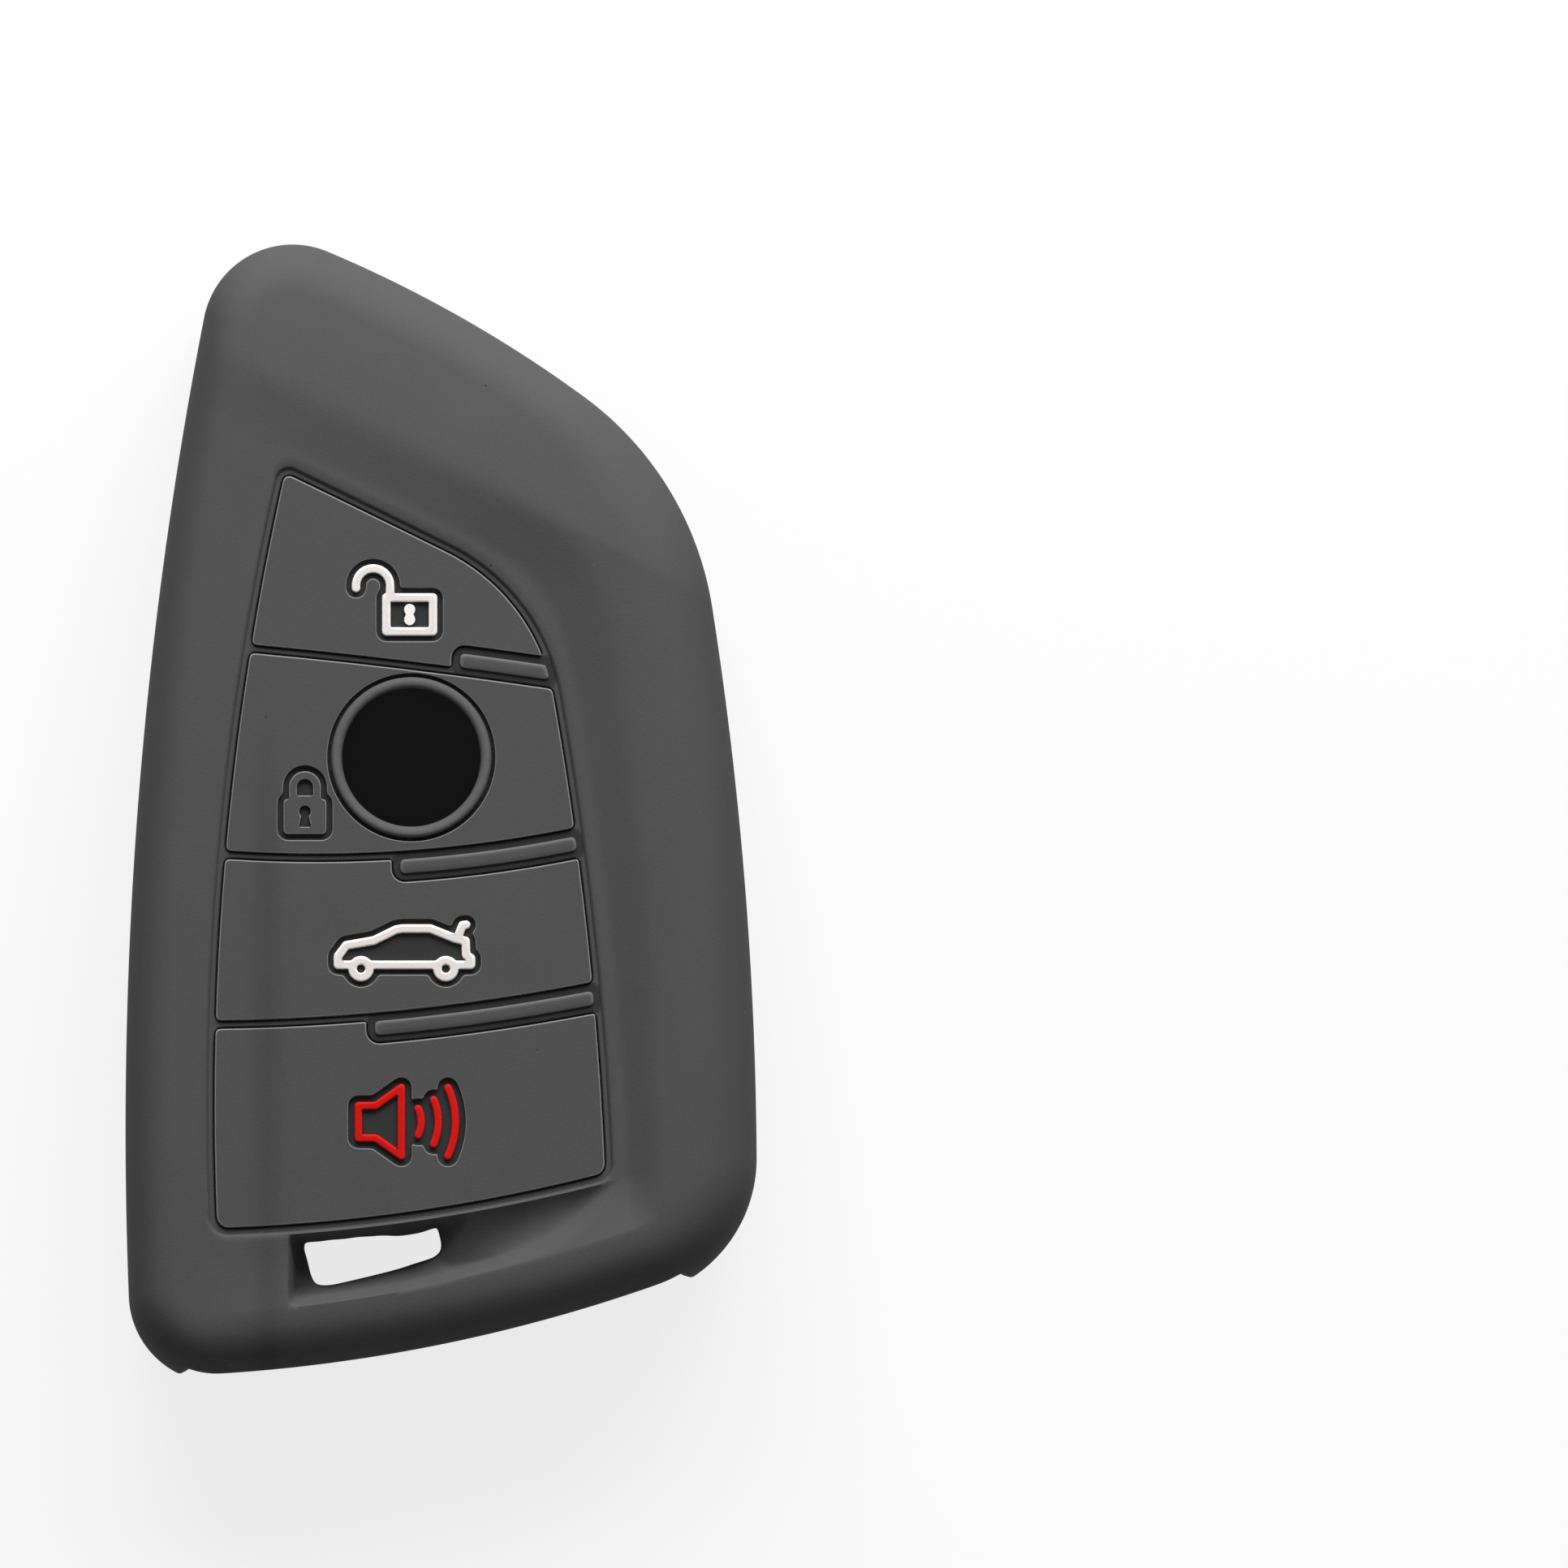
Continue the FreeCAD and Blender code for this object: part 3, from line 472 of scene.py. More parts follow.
def scoop_share(x, depths, gaps):
    """How deep the scoop is at a place, from 0 at its rim to 1 by the slot.

    Four ramps are its walls, and to the right its floor rises as an exponential dies away.
    There the section is a trough: a line, further right a parabola, falls from the upper edge to the
    deepest place, and a smooth ramp climbs to the lower edge. `across` goes from 0 to 1 between the edges.
    """
    swing = np.clip((x - SCOOP_SWING[0]) / SCOOP_SWING[1], 0, 1) ** 2
    low_edge = SCOOP_LOW + (SCOOP_MEET - SCOOP_LOW) * swing
    above, below = gaps[..., BOTTOM] - SCOOP_TOP, depths[..., BOTTOM] - low_edge
    basin = soft_step(below / SCOOP_RUNS["low"]) * rounded_ramp(above / SCOOP_RUNS["high"])
    down, up = np.clip(above, 0, None), np.clip(below, 0, None)
    across = down / np.clip(down + up, TINY, None)
    deepest = np.interp(x, TROUGH_DEEPEST_X, TROUGH_DEEPEST)
    fall = 1 - (1 - np.clip(across / deepest, 0, 1)) ** np.interp(x, TROUGH_POWER_X, TROUGH_POWER)
    trough = np.where(below > 0, fall * rounded_ramp((1 - across) / (1 - deepest)), 0)
    section = basin + (trough - basin) * ramp_over(x, TROUGH_X)
    left = rounded_ramp((x - SCOOP_LEFT) / SCOOP_RUNS["left"])
    right = rounded_ramp((SCOOP_RIGHT - x) / SCOOP_RUNS["right"])
    rise = np.exp(-np.clip(x - SCOOP_FADE[0], 0, None) / SCOOP_FADE[1])
    return section * left * right * rise


# %% [markdown]
# Now the terms are added up to the two faces. The ground of the button field leaves the scoop out,
# because the pads and the lip round them are not cut by it.

# %% Height of the front and of the back
FRONT_HEIGHT = 16.2
FRONT_TILT = math.radians(1.0)
BACK_RECESS = 0.35


def front_height(x, y, scooped=True):
    """Height of the front face over a place, in millimetres above the back."""
    depths, gaps = side_depths(x, y), field_gaps(x, y)
    bezel = FRONT_HEIGHT + x * math.tan(FRONT_TILT) - tip_fall(gaps)
    panel = panel_height(x, y)
    height = panel + (bezel - panel) * band_share(x, depths, gaps)
    if scooped:
        height = height - SCOOP_DEPTH * scoop_share(x, depths, gaps)
    return height


def field_ground(x, y):
    """The relief under the button field, without the scoop."""
    return front_height(x, y, False)


def back_height(x, y):
    """Height of the back face over a place: a shallow panel, the fall to the tip and the scoop."""
    depths, gaps = side_depths(x, y), field_gaps(x, y)
    flat = BACK_RECESS * (1 - band_share(x, depths, gaps))
    return flat + tip_fall(gaps) + SCOOP_DEPTH * scoop_share(x, depths, gaps)


print("front at x", probe_x, "is", front_height(probe_x, probe_y).round(2))
print("back at x", probe_x, "is", back_height(probe_x, probe_y).round(2))

# %% [markdown]
# ## Rows of the sleeve
# A row is one closed outline. The rows start at the foot of the moat wall, climb over the soft lip,
# cross the bezel, roll round the edge on a full, boxy oval, and go over the back to its middle.
# A second set of rows, with the same numbering, lines the hollow. Because the numbering is shared,
# an opening is just a rectangle of left-out faces whose two rims are joined.

# %% Rows of the lip
RIM_CORNERS = np.array([1.14, 16.14, 1.54, 1.54])
LIP_REACHES = np.array([0.22, 0.22, 0.19, 0.13, 0.07, 0.0, -0.07, -0.13])
LIP_DROPS = np.array([1.4, 0.46, 0.36, 0.27, 0.19, 0.11, 0.045, 0.01])


def xy(plan):
    """The x and the y of plan places, as two arrays."""
    return plan[..., 0], plan[..., 1]


def on_surface(plan, heights):
    """Points from plan places and their heights."""
    return np.concatenate((plan, heights[..., None]), axis=-1)


lip_plan = outline_rows(RIM_INSETS + LIP_REACHES[:, None], RIM_CORNERS - LIP_REACHES[:, None],
                        np.ones(len(LIP_REACHES)))
lip_rows = on_surface(lip_plan, field_ground(*xy(lip_plan)) - LIP_DROPS[:, None])
print("lip rows and columns:", lip_rows.shape[:2])

# %% [markdown]
# The rows of the two faces are set by how far they lie in from the lower side, because the slot is there.
# They are closest together at its two long edges and at the crest below it.
# The edge follows as an oval: its rows are set by angle, from the front through level to the back,
# and two of the angles are those of the mouth's lips.

# %% Rows of the faces and of the edge
ROUNDINGS = np.array([4.0, 4.0, 6.8, 5.4])
SMALLEST_CORNER = 0.6
SLOT_INSETS = (10.12, 6.45)
BOTTOM_LEVELS = np.array([10.46, 10.38, 10.3, 10.22, SLOT_INSETS[0], 10.02, 9.9, 9.7, 9.4, 9.0, 8.6, 8.2,
                          7.8, 7.5, 7.2, 6.95, 6.75, 6.58, SLOT_INSETS[1], 6.32, 6.2, 6.07, 5.94, 5.81,
                          5.68, 5.54, 5.4])
MOUTH_ANGLES = (33.0, -33.0)
EDGE_ANGLES = np.array([88.5, 86, 82, 77, 71, 64, 57, 50, 43, 38, MOUTH_ANGLES[0], 27, 20, 13, 6, 0,
                        -6, -14, -24, MOUTH_ANGLES[1], -38, -43, -49, -57, -64, -71, -77, -82, -86, -88.5])
EDGE_SHAPE = 0.8
MIDDLE_Z = FRONT_HEIGHT / 2


def corner_radii(insets):
    """Corner radius of a row: the outline's own, less the mean inset beside it."""
    mean = (insets + np.roll(insets, -1, axis=1)) / 2
    return np.maximum(CORNER_RADII - mean, SMALLEST_CORNER)


face_shares = ((BOTTOM_LEVELS - ROUNDINGS[BOTTOM]) / (RIM_INSETS[BOTTOM] - ROUNDINGS[BOTTOM]))[:, None]
face_insets = ROUNDINGS + (RIM_INSETS - ROUNDINGS) * face_shares
face_corners = (1 - face_shares) * corner_radii(ROUNDINGS[None, :]) + face_shares * RIM_CORNERS
face_plan = outline_rows(face_insets, face_corners, face_shares[:, 0])
front_rows = on_surface(face_plan, front_height(*xy(face_plan)))
back_rows = on_surface(face_plan, back_height(*xy(face_plan)))[::-1]

edge_turn = np.radians(EDGE_ANGLES)
edge_insets = ROUNDINGS * (1 - np.cos(edge_turn) ** EDGE_SHAPE)[:, None]
edge_plan = outline_rows(edge_insets, corner_radii(edge_insets))
edge_reach = np.where(edge_turn[:, None] > 0, front_height(*xy(edge_plan)), back_height(*xy(edge_plan)))
edge_rise = np.abs(np.sin(edge_turn))[:, None] ** EDGE_SHAPE
edge_rows = on_surface(edge_plan, MIDDLE_Z + (edge_reach - MIDDLE_Z) * edge_rise)

outer = np.concatenate((front_rows, edge_rows, back_rows))
print("outer rows and columns:", outer.shape[:2])

# %% [markdown]
# The hollow is lined by rows of its own, one wall thickness further in. They count as the outer rows do.
# The wall is thinner at the mouth, so that the slot, which lies close to it, can pass.
# Where the scoops reach in, the lining moves out of their way, so the wall keeps its thickness there.

# %% Inner rows
CAVITY_TOP = 14.3
BACK_WALL = 1.4
SIDE_WALLS = np.array([1.4, 1.4, 1.4, 0.9])
SCOOP_WALL = 1.25
LINING_POWERS = np.array([1, 1, 1, 5])

lining_insets = face_insets + SIDE_WALLS * (1 - face_shares) ** LINING_POWERS
lining_turns = corner_radii(ROUNDINGS[None, :] + SIDE_WALLS)
lining_corners = (1 - face_shares) * lining_turns + face_shares * RIM_CORNERS
lining_plan = outline_rows(lining_insets, lining_corners, face_shares[:, 0])
ceiling = np.minimum(CAVITY_TOP, front_height(*xy(lining_plan)) - SCOOP_WALL)
ground = np.maximum(BACK_WALL, back_height(*xy(lining_plan)) + SCOOP_WALL)

wall_insets = SIDE_WALLS + edge_insets
wall_plan = outline_rows(wall_insets, corner_radii(wall_insets))
wall_middle = (CAVITY_TOP + BACK_WALL) / 2
wall_z = wall_middle + (CAVITY_TOP - wall_middle) * np.sign(edge_turn)[:, None] * edge_rise
wall_z = np.minimum(wall_z, front_height(*xy(wall_plan)) - SCOOP_WALL)
wall_z = np.maximum(wall_z, back_height(*xy(wall_plan)) + SCOOP_WALL)

inner = np.concatenate((on_surface(lining_plan, ceiling), on_surface(wall_plan, wall_z),
                        on_surface(lining_plan, ground)[::-1]))
print("inner rows and columns:", inner.shape[:2])

# %% [markdown]
# ## Openings
# The mouth and the two ends of the key ring slot are rectangles of the grid. Their rims are softened
# by a blur along the loop, which rounds the corners, and the rims of the two skins are joined by a strip
# that bulges a little, as a moulded edge does.

# %% Soft loops and bridged openings
def soften(loop, softness):
    """Blurs a closed loop of points along its length: a Gaussian of that width, by Fourier transform."""
    steps = np.linalg.norm(np.roll(loop, -1, axis=0) - loop, axis=1)
    waves = np.fft.fftfreq(len(loop), d=steps.mean())
    damp = np.exp(-2 * (np.pi * waves * softness) ** 2)
    return np.fft.ifft(np.fft.fft(loop, axis=0) * damp[:, None], axis=0).real


def rectangle_loop(r0, r1, c0, c1):
    """Row and column numbers round a rectangle of the grid, once round without repeats."""
    across, down = np.arange(c0, c1), np.arange(r0, r1)
    rows = np.concatenate((np.full(len(across), r0), down, np.full(len(across), r1), down[::-1] + 1))
    columns = np.concatenate((across, np.full(len(down), c1), across[::-1] + 1, np.full(len(down), c0)))
    return rows, columns


def unit(vectors):
    """Vectors scaled to length one."""
    return vectors / np.linalg.norm(vectors, axis=1, keepdims=True)


BRIDGE_SHARES = np.array([0.0, 0.1, 0.3, 0.5, 0.7, 0.9, 1.0])


def bridge(block, softness, bulge, shape=None):
    """Softens the rims of an opening in both skins and returns the strip of points that joins them."""
    r0, r1, c0, c1 = block
    rim = rectangle_loop(*block)
    outside = (rim[0] + np.sign(rim[0] - (r0 + r1) / 2).astype(int) * np.isin(rim[0], (r0, r1)),
               rim[1] + np.sign(rim[1] - (c0 + c1) / 2).astype(int) * np.isin(rim[1], (c0, c1)))
    for skin in (outer, inner):
        skin[rim] = soften(skin[rim] if shape is None else shape(skin[rim], rim[0]), softness)
    way = unit(unit(outer[rim] - outer[outside]) + unit(inner[rim] - inner[outside]))
    share = BRIDGE_SHARES[:, None, None]
    return (1 - share) * outer[rim] + share * inner[rim] + bulge * np.sin(np.pi * share) * way


# %% [markdown]
# The rim of the slot is not a plain rectangle: the upper edge sags in one place, the lower edge climbs to
# the right, and the ends are rounded at their feet. A function moves the rim's points to that shape
# before they are blurred, and it keeps them on the surface of the face, so the rim doesn't stand proud.

# %% Shape of the key ring slot
SLOT_SAG, SLOT_SAG_X, SLOT_SAG_RUN = 0.34, -2.6, 1.9
SLOT_WAVE, SLOT_WAVE_NUMBER = 0.04, 3.1
SLOT_CLIMB, SLOT_CLIMB_X = 0.085, -8.5
SLOT_ROUNDS = (1.4, 0.75)
SLOT_ROUND_RUNS = (4.0, 3.0)
SLOT_LEAN = 0.4
SLOT_HEIGHT = SLOT_INSETS[0] - SLOT_INSETS[1]


def round_foot(low, radius):
    """How far an upright end turns in at its foot: the gap between a square corner and a round one."""
    turn = np.clip(1 - (1 - low) * SLOT_HEIGHT / radius, 0, 1)
    return radius * (1 - np.sqrt(1 - turn ** 2))


def slot_shape(points, rows):
    """Rim of the key ring slot.

    The upper edge sags and waves a little, the lower edge climbs to the right,
    and both ends are rounded at their feet. `low` goes from 0 at the upper row to 1 at the lower.
    A point that moves rises or sinks as the face does.
    """
    x, y, z = points.T
    depth = side_depths(x, y)[:, BOTTOM]
    low = (SLOT_INSETS[0] - BOTTOM_LEVELS[np.minimum(rows, len(outer) - 1 - rows)]) / SLOT_HEIGHT
    sag = SLOT_SAG * np.exp(-((x - SLOT_SAG_X) / SLOT_SAG_RUN) ** 2)
    sag = sag + SLOT_WAVE * (1 + np.sin(SLOT_WAVE_NUMBER * x))
    climb = SLOT_CLIMB * np.clip(x - SLOT_CLIMB_X, 0, None)
    right = rounded_ramp((x - SLOT_ENDS[0]) / SLOT_ROUND_RUNS[0] + 1) * round_foot(low, SLOT_ROUNDS[0])
    left = rounded_ramp((SLOT_ENDS[1] - x) / SLOT_ROUND_RUNS[1] + 1)
    left = left * (round_foot(low, SLOT_ROUNDS[1]) + SLOT_LEAN * low)
    radius = side_radii[BOTTOM] - depth + sag * (1 - low) - climb * low
    centre = side_centres[BOTTOM]
    angle = np.arctan2(y - centre[1], x - centre[0]) + (left - right) / radius
    new_x, new_y = centre[0] + radius * np.cos(angle), centre[1] + radius * np.sin(angle)
    front_rise = front_height(new_x, new_y) - front_height(x, y)
    back_rise = back_height(new_x, new_y) - back_height(x, y)
    return np.stack((new_x, new_y, z + np.where(rows < len(outer) / 2, front_rise, back_rise)), axis=1)


# %% [markdown]
# The mouth ends at the columns nearest to two places in its corners, where the outline has small notches.
# The slot has rows and columns of its own, set above. On the back its rows are counted from the end.

# %% Place the openings
MOUTH_ENDS = (19.8, -20.6)
MOUTH_SOFTNESS, MOUTH_BULGE = 0.5, 0.3
SLOT_SOFTNESS, SLOT_BULGE = 0.48, 0.12


def nearest(values, goal):
    """Index of the value nearest to a goal."""
    return int(np.abs(values - goal).argmin())


face_count = len(BOTTOM_LEVELS)
first_foot = sum(SIDE_COLUMNS) + sum(CORNER_COLUMNS[:2])
last_foot = len(silhouette) - CORNER_COLUMNS[3]
first_corner = silhouette[first_foot:first_foot + CORNER_COLUMNS[2], 0]
mouth_first = first_foot + nearest(first_corner, MOUTH_ENDS[0])
mouth_last = last_foot + nearest(silhouette[last_foot:, 0], MOUTH_ENDS[1])
mouth_rows = [face_count + nearest(EDGE_ANGLES, angle) for angle in MOUTH_ANGLES]
slot_rows = [nearest(BOTTOM_LEVELS, inset) for inset in SLOT_INSETS]
first_ray = first_foot + CORNER_COLUMNS[2] + OUTER_COUNTS[0]
slot_columns = (first_ray + RAY_COUNTS[0], first_ray + RAY_COUNTS[0] + RAY_COUNTS[1])
last_row = len(outer) - 1
openings = {
    "mouth": (*mouth_rows, mouth_first, mouth_last),
    "front slot": (*slot_rows, *slot_columns),
    "back slot": (last_row - slot_rows[1], last_row - slot_rows[0], *slot_columns),
}
strips = [bridge(openings["mouth"], MOUTH_SOFTNESS, MOUTH_BULGE)]
for name in ("front slot", "back slot"):
    strips.append(bridge(openings[name], SLOT_SOFTNESS, SLOT_BULGE, slot_shape))
print("openings as rows and columns:", openings)

# %% [markdown]
# ## Filling a flat stretch
# Pads, floors and the middle of the back are flat or nearly so, and are bounded by free-form loops.
# They are filled with triangles between the loops and an even lattice of points, by a Delaunay
# triangulation, and take their heights from the relief.

# %% Fill between loops
def inside_loops(points, loops):
    """True where a ray to the right of a point crosses the loops an odd number of times."""
    crossings = np.zeros(len(points), int)
    for loop in loops:
        x0, y0 = loop.T
        x1, y1 = np.roll(loop, -1, axis=0).T
        above = (y0[None, :] > points[:, 1:]) != (y1[None, :] > points[:, 1:])
        rise = np.where(y1 == y0, 1, y1 - y0)
        cut = x0 + (points[:, 1:] - y0) * ((x1 - x0) / rise)
        crossings += (above & (points[:, :1] < cut)).sum(axis=1)
    return crossings % 2 == 1


CLEAR_SHARE = 0.55


def lattice_in(loops, spacing):
    """Even lattice of points inside the loops that keeps clear of the loops themselves."""
    every = np.concatenate(loops)
    low, high = every.min(0), every.max(0)
    across, up = np.arange(low[0], high[0], spacing), np.arange(low[1], high[1], spacing)
    points = np.stack(np.meshgrid(across, up), axis=-1).reshape(-1, 2)
    points = points[inside_loops(points, loops)]
    gaps = np.hypot(points[:, :1] - every[:, 0], points[:, 1:] - every[:, 1]).min(axis=1)
    return points[gaps > spacing * CLEAR_SHARE]


def fill(loops, spacing=None):
    """Plan points and triangles between loops; the first holds the others, and all run anticlockwise.

    Triangles to the left of the first loop's edges, or to the right of a hole's, are inside,
    and so is every triangle that they reach without crossing a loop.
    An edge is looked up as one number: its start times the number of points, plus its end.
    """
    groups = list(loops)
    edges = np.empty((0, 2), int)
    for k, loop in enumerate(loops):
        turn = np.arange(len(loop)) + len(edges)
        ahead = np.roll(turn, -1)
        edges = np.concatenate((edges, np.stack((turn, ahead) if k == 0 else (ahead, turn), axis=1)))
    if spacing:
        groups.append(lattice_in(loops, spacing))
    flat = [Vector(p) for p in np.concatenate(groups).tolist()]
    places, lines, triples, _, sources, _ = delaunay_2d_cdt(flat, edges.tolist(), [], 0, HAIR)
    points = np.array([p[:] for p in places])
    triangles = np.array(triples)
    walls = np.array([line for line, source in zip(lines, sources) if source])
    size = len(points)
    sides = np.stack((triangles, np.roll(triangles, -1, axis=1)), axis=-1).reshape(-1, 2)
    keys = sides[:, 0] * size + sides[:, 1]
    order = np.argsort(keys)
    back_keys = sides[:, 1] * size + sides[:, 0]
    spot = np.clip(np.searchsorted(keys, back_keys, sorter=order), 0, len(keys) - 1)
    met = keys[order[spot]] == back_keys
    blocked = np.isin(keys, np.concatenate((walls @ [size, 1], walls @ [1, size])))
    beside = np.where(met & ~blocked, order[spot] // 3, -1).reshape(-1, 3)
    kept = np.isin(keys, edges @ [size, 1]).reshape(-1, 3).any(axis=1)
    reached = 0
    while kept.sum() > reached:
        reached = kept.sum()
        kept = kept | (kept[beside] & (beside >= 0)).any(axis=1)
    return points, triangles[kept]


# %% [markdown]
# Now the sleeve is put together: the lip, the two skins, the strips in the openings and the middle of
# the back. A few guard rows run round that middle, so that the scoop's shading doesn't spread into it.
# The bottom of the hollow is painted with light, and the painted light fades out up the wall.

# %% The sleeve
# Painted shade down the lip into the moat, darkest at its foot.
LIP_SHADES = np.array([0.7, 0.6, 0.5, 0.35, 0.15, 0.0, 0.0, 0.0])
BACK_SPACING = 1.1
GUARD_ROWS = slice(0, 7, 2)
columns = outer.shape[1]
keep = np.ones((len(outer) - 1, columns), bool)
for r0, r1, c0, c1 in openings.values():
    keep[r0:r1, c0:c1] = False
sleeve = Patches()
skin_faces = grid_faces(len(outer), columns)[keep.ravel()]
lip_shades = np.repeat(np.append(LIP_SHADES, 0.0), columns)
sleeve.add(np.concatenate((lip_rows, outer[:1])), grid_faces(len(lip_rows) + 1, columns), shade=lip_shades)
# The front skin carries the crease's painted shade.
front = outer[..., 2] > MIDDLE_Z
sleeve.add(outer, skin_faces, shade=crease_shade(*xy(outer)) * front)
wall_painted_light = rounded_ramp(np.linspace(0, 1, len(EDGE_ANGLES)))
lining_painted_light = np.concatenate((np.zeros(face_count), wall_painted_light, np.ones(face_count)))
sleeve.add(inner, skin_faces[:, ::-1], rim=np.repeat(lining_painted_light, columns))
foot = np.stack((lip_rows[0], inner[0]))
sleeve.add(foot, grid_faces(len(foot), columns))
for strip in strips:
    sleeve.add(strip, grid_faces(*strip.shape[:2]))
guard_plan = lip_plan[::-1][GUARD_ROWS]
guard = np.concatenate((outer[-1:], on_surface(guard_plan, back_height(*xy(guard_plan)))))
sleeve.add(guard, grid_faces(len(guard), columns))
plan, triangles = fill([guard_plan[-1, ::-1]], BACK_SPACING)
sleeve.add(on_surface(plan, back_height(*xy(plan))), triangles)
# The bottom of the hollow takes the pale tone in full: painted light.
plan, triangles = fill([inner[-1, ::-1, :2]], BACK_SPACING)
sleeve.add(on_surface(plan, np.maximum(BACK_WALL, back_height(*xy(plan)) + SCOOP_WALL)), triangles, rim=1)
sleeve.piece("silicone_sleeve", "sleeve", "grey_silicone", "cover_sleeve")

# %% [markdown]
# ## Plans from the frame
# Pads, ribs and pictograms keep the plan of their piece in the frame. The top of such a piece is flat,
# so its plan is the border of the triangles that lie at its highest level. The border is taken as
# loops of points, spread evenly and blurred a little, because a moulding has no knife-sharp corners.

# %% Loops of a flat top
FEWEST_POINTS = 16
PLAN_DECIMALS = 3


def spread(loop, spacing):
    """The same closed loop with its points at even steps along its length."""
    closed = np.concatenate((loop, loop[:1]))
    along = np.concatenate(([0], np.cumsum(np.linalg.norm(np.diff(closed, axis=0), axis=1))))
    count = max(int(round(along[-1] / spacing)), FEWEST_POINTS)
    places = np.linspace(0, along[-1], count, endpoint=False)
    return np.stack([np.interp(places, along, closed[:, axis]) for axis in range(2)], axis=1)


def loop_area(loop):
    """Signed area of a loop, positive when it runs anticlockwise."""
    x, y = loop.T
    return 0.5 * np.sum(x * np.roll(y, -1) - np.roll(x, -1) * y)


def border_loops(node):
    """Border of a node's flat top: edges that only one of its top triangles uses, chained into loops."""
    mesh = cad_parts[node].data
    points = np.zeros(len(mesh.vertices) * 3)
    mesh.vertices.foreach_get("co", points)
    points = points.reshape(-1, 3) / MM
    corners = np.zeros(len(mesh.loops), int)
    mesh.loops.foreach_get("vertex_index", corners)
    triangles = corners.reshape(-1, 3)
    top = points[triangles][:, :, 2].min(axis=1) > points[:, 2].max() - WELD
    places, number = np.unique(points[:, :2].round(PLAN_DECIMALS), axis=0, return_inverse=True)
    number = number.ravel()[triangles[top]]
    edges = np.concatenate((number[:, :2], number[:, 1:], number[:, [2, 0]]))
    edges = edges[edges[:, 0] != edges[:, 1]]
    forward = set(map(tuple, edges.tolist()))
    following = {a: b for a, b in forward if (b, a) not in forward}
    loops = []
    while following:
        start, step = following.popitem()
        chain = [start]
        while step != start:
            chain.append(step)
            step = following.pop(step)
        loops.append(places[chain])
    return sorted(loops, key=lambda loop: -abs(loop_area(loop)))


def soft_plan(node, spacing, softness):
    """Loops of a node's top, evenly spaced and softened, each running anticlockwise, largest first."""
    loops = [soften(spread(loop, spacing), softness) for loop in border_loops(node)]
    return [loop if loop_area(loop) > 0 else loop[::-1] for loop in loops]


PAD_STEP = 0.11
PAD_SOFTNESS = 0.15
pad_plans = {name: soft_plan(name, PAD_STEP, PAD_SOFTNESS)
             for name in ("unlock_pad", "lock_pad", "boot_pad", "alarm_pad")}
for name, loops in pad_plans.items():
    print(name, "loops:", [(len(loop), round(loop_area(loop), 2)) for loop in loops])

# %% [markdown]
# ## A profile carried along a loop
# The edge of a pad or a stroke is a small profile: a wall, a round and a stretch of flat top.
# Carrying the profile along the plan loop gives the edge, and a fill closes the middle.
# Each step of a profile is how far it lies inside the loop, how deep below the ground it is,
# and how strong the pale rim line and the painted shade are there.

# %% Carry a profile
def inward(loop):
    """Unit normals of an anticlockwise loop that point to its inside: the tangent turned left."""
    tangent = unit(np.roll(loop, -1, axis=0) - np.roll(loop, 1, axis=0))
    return np.stack((-tangent[:, 1], tangent[:, 0]), axis=1)


CORNER_EASE = 1.6


def carry(patches, loop, profile, ground, into=1, painted_shade_at=crease_shade):
    """Adds the strip that a profile leaves along a loop and returns its loops in plan.

    The further a loop lies from the plan, the more it is blurred, so that tight corners do not fold.
    """
    reach, drop, rim, shade = np.array(profile, float).T
    plan = loop + into * reach[:, None, None] * inward(loop)
    plan = np.stack([soften(row, CORNER_EASE * abs(r)) for row, r in zip(plan, reach)])
    heights = ground(*xy(plan)) - drop[:, None]
    faces = grid_faces(len(profile), len(loop))
    # Painted shade: the profile's own, or the crease's or channel's where that is darker.
    shades = np.maximum(shade[:, None], painted_shade_at(*xy(plan)))
    patches.add(on_surface(plan, heights), faces, np.repeat(rim, len(loop)), shades)
    return plan


def cap(patches, loops, ground, drop, spacing=None, rim=0.0, shade=0.0, painted_shade_at=crease_shade):
    """Fills between loops at a depth below the ground; painted shade along the crease, or another painted
    shade, darkens it too.
    """
    plan, triangles = fill(loops, spacing)
    points = on_surface(plan, ground(*xy(plan)) - drop)
    patches.add(points, triangles, rim, np.maximum(shade, painted_shade_at(*xy(plan))))


# %% [markdown]
# ## Push pads
# Four pads fill the button field, each with a sunk pocket for its pictogram.
# The lock pad is also pierced by the round window, with a seat for the bead round it.
# The pale rim line is strongest on the round of each edge. Lower walls, pocket floors, the bead's seat and
# the window's bore are painted with shade.

# %% Pads
PAD_THICKNESS = 1.4
POCKET_DEPTH = 0.4
BEAD_SEAT = 0.4
WINDOW_RADIUS = 5.45
SEAT_RADIUS = 6.62
SEAT_NEAR = 1.0
PAD_SPACING = 0.45
POCKET_SHADE = 0.75
PAD_EDGE = [(0, PAD_THICKNESS, 0, 1), (0, 0.3, 0, 0.8), (0.008, 0.14, 0.1, 0.2), (0.03, 0.05, 0.7, 0),
            (0.07, 0.008, 1, 0), (0.1, 0, 0.5, 0), (0.12, 0, 0, 0)]
POCKET_EDGE = [(0.07, 0, 0, 0), (0.055, 0, 0.5, 0), (0.035, 0.008, 1, 0), (0.01, 0.04, 0.7, 0),
               (0, 0.1, 0.1, 0.2), (-0.03, 0.3, 0, POCKET_SHADE), (-0.1, POCKET_DEPTH, 0, POCKET_SHADE)]
window_low, window_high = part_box("window_bead")
window_centre = np.array([(window_low.x + window_high.x) / 2, (window_low.y + window_high.y) / 2]) / MM


def circle(radius, count):
    """Anticlockwise circle about the middle of the window."""
    turn = np.linspace(0, 2 * np.pi, count, endpoint=False)
    return window_centre + radius * directions(turn)


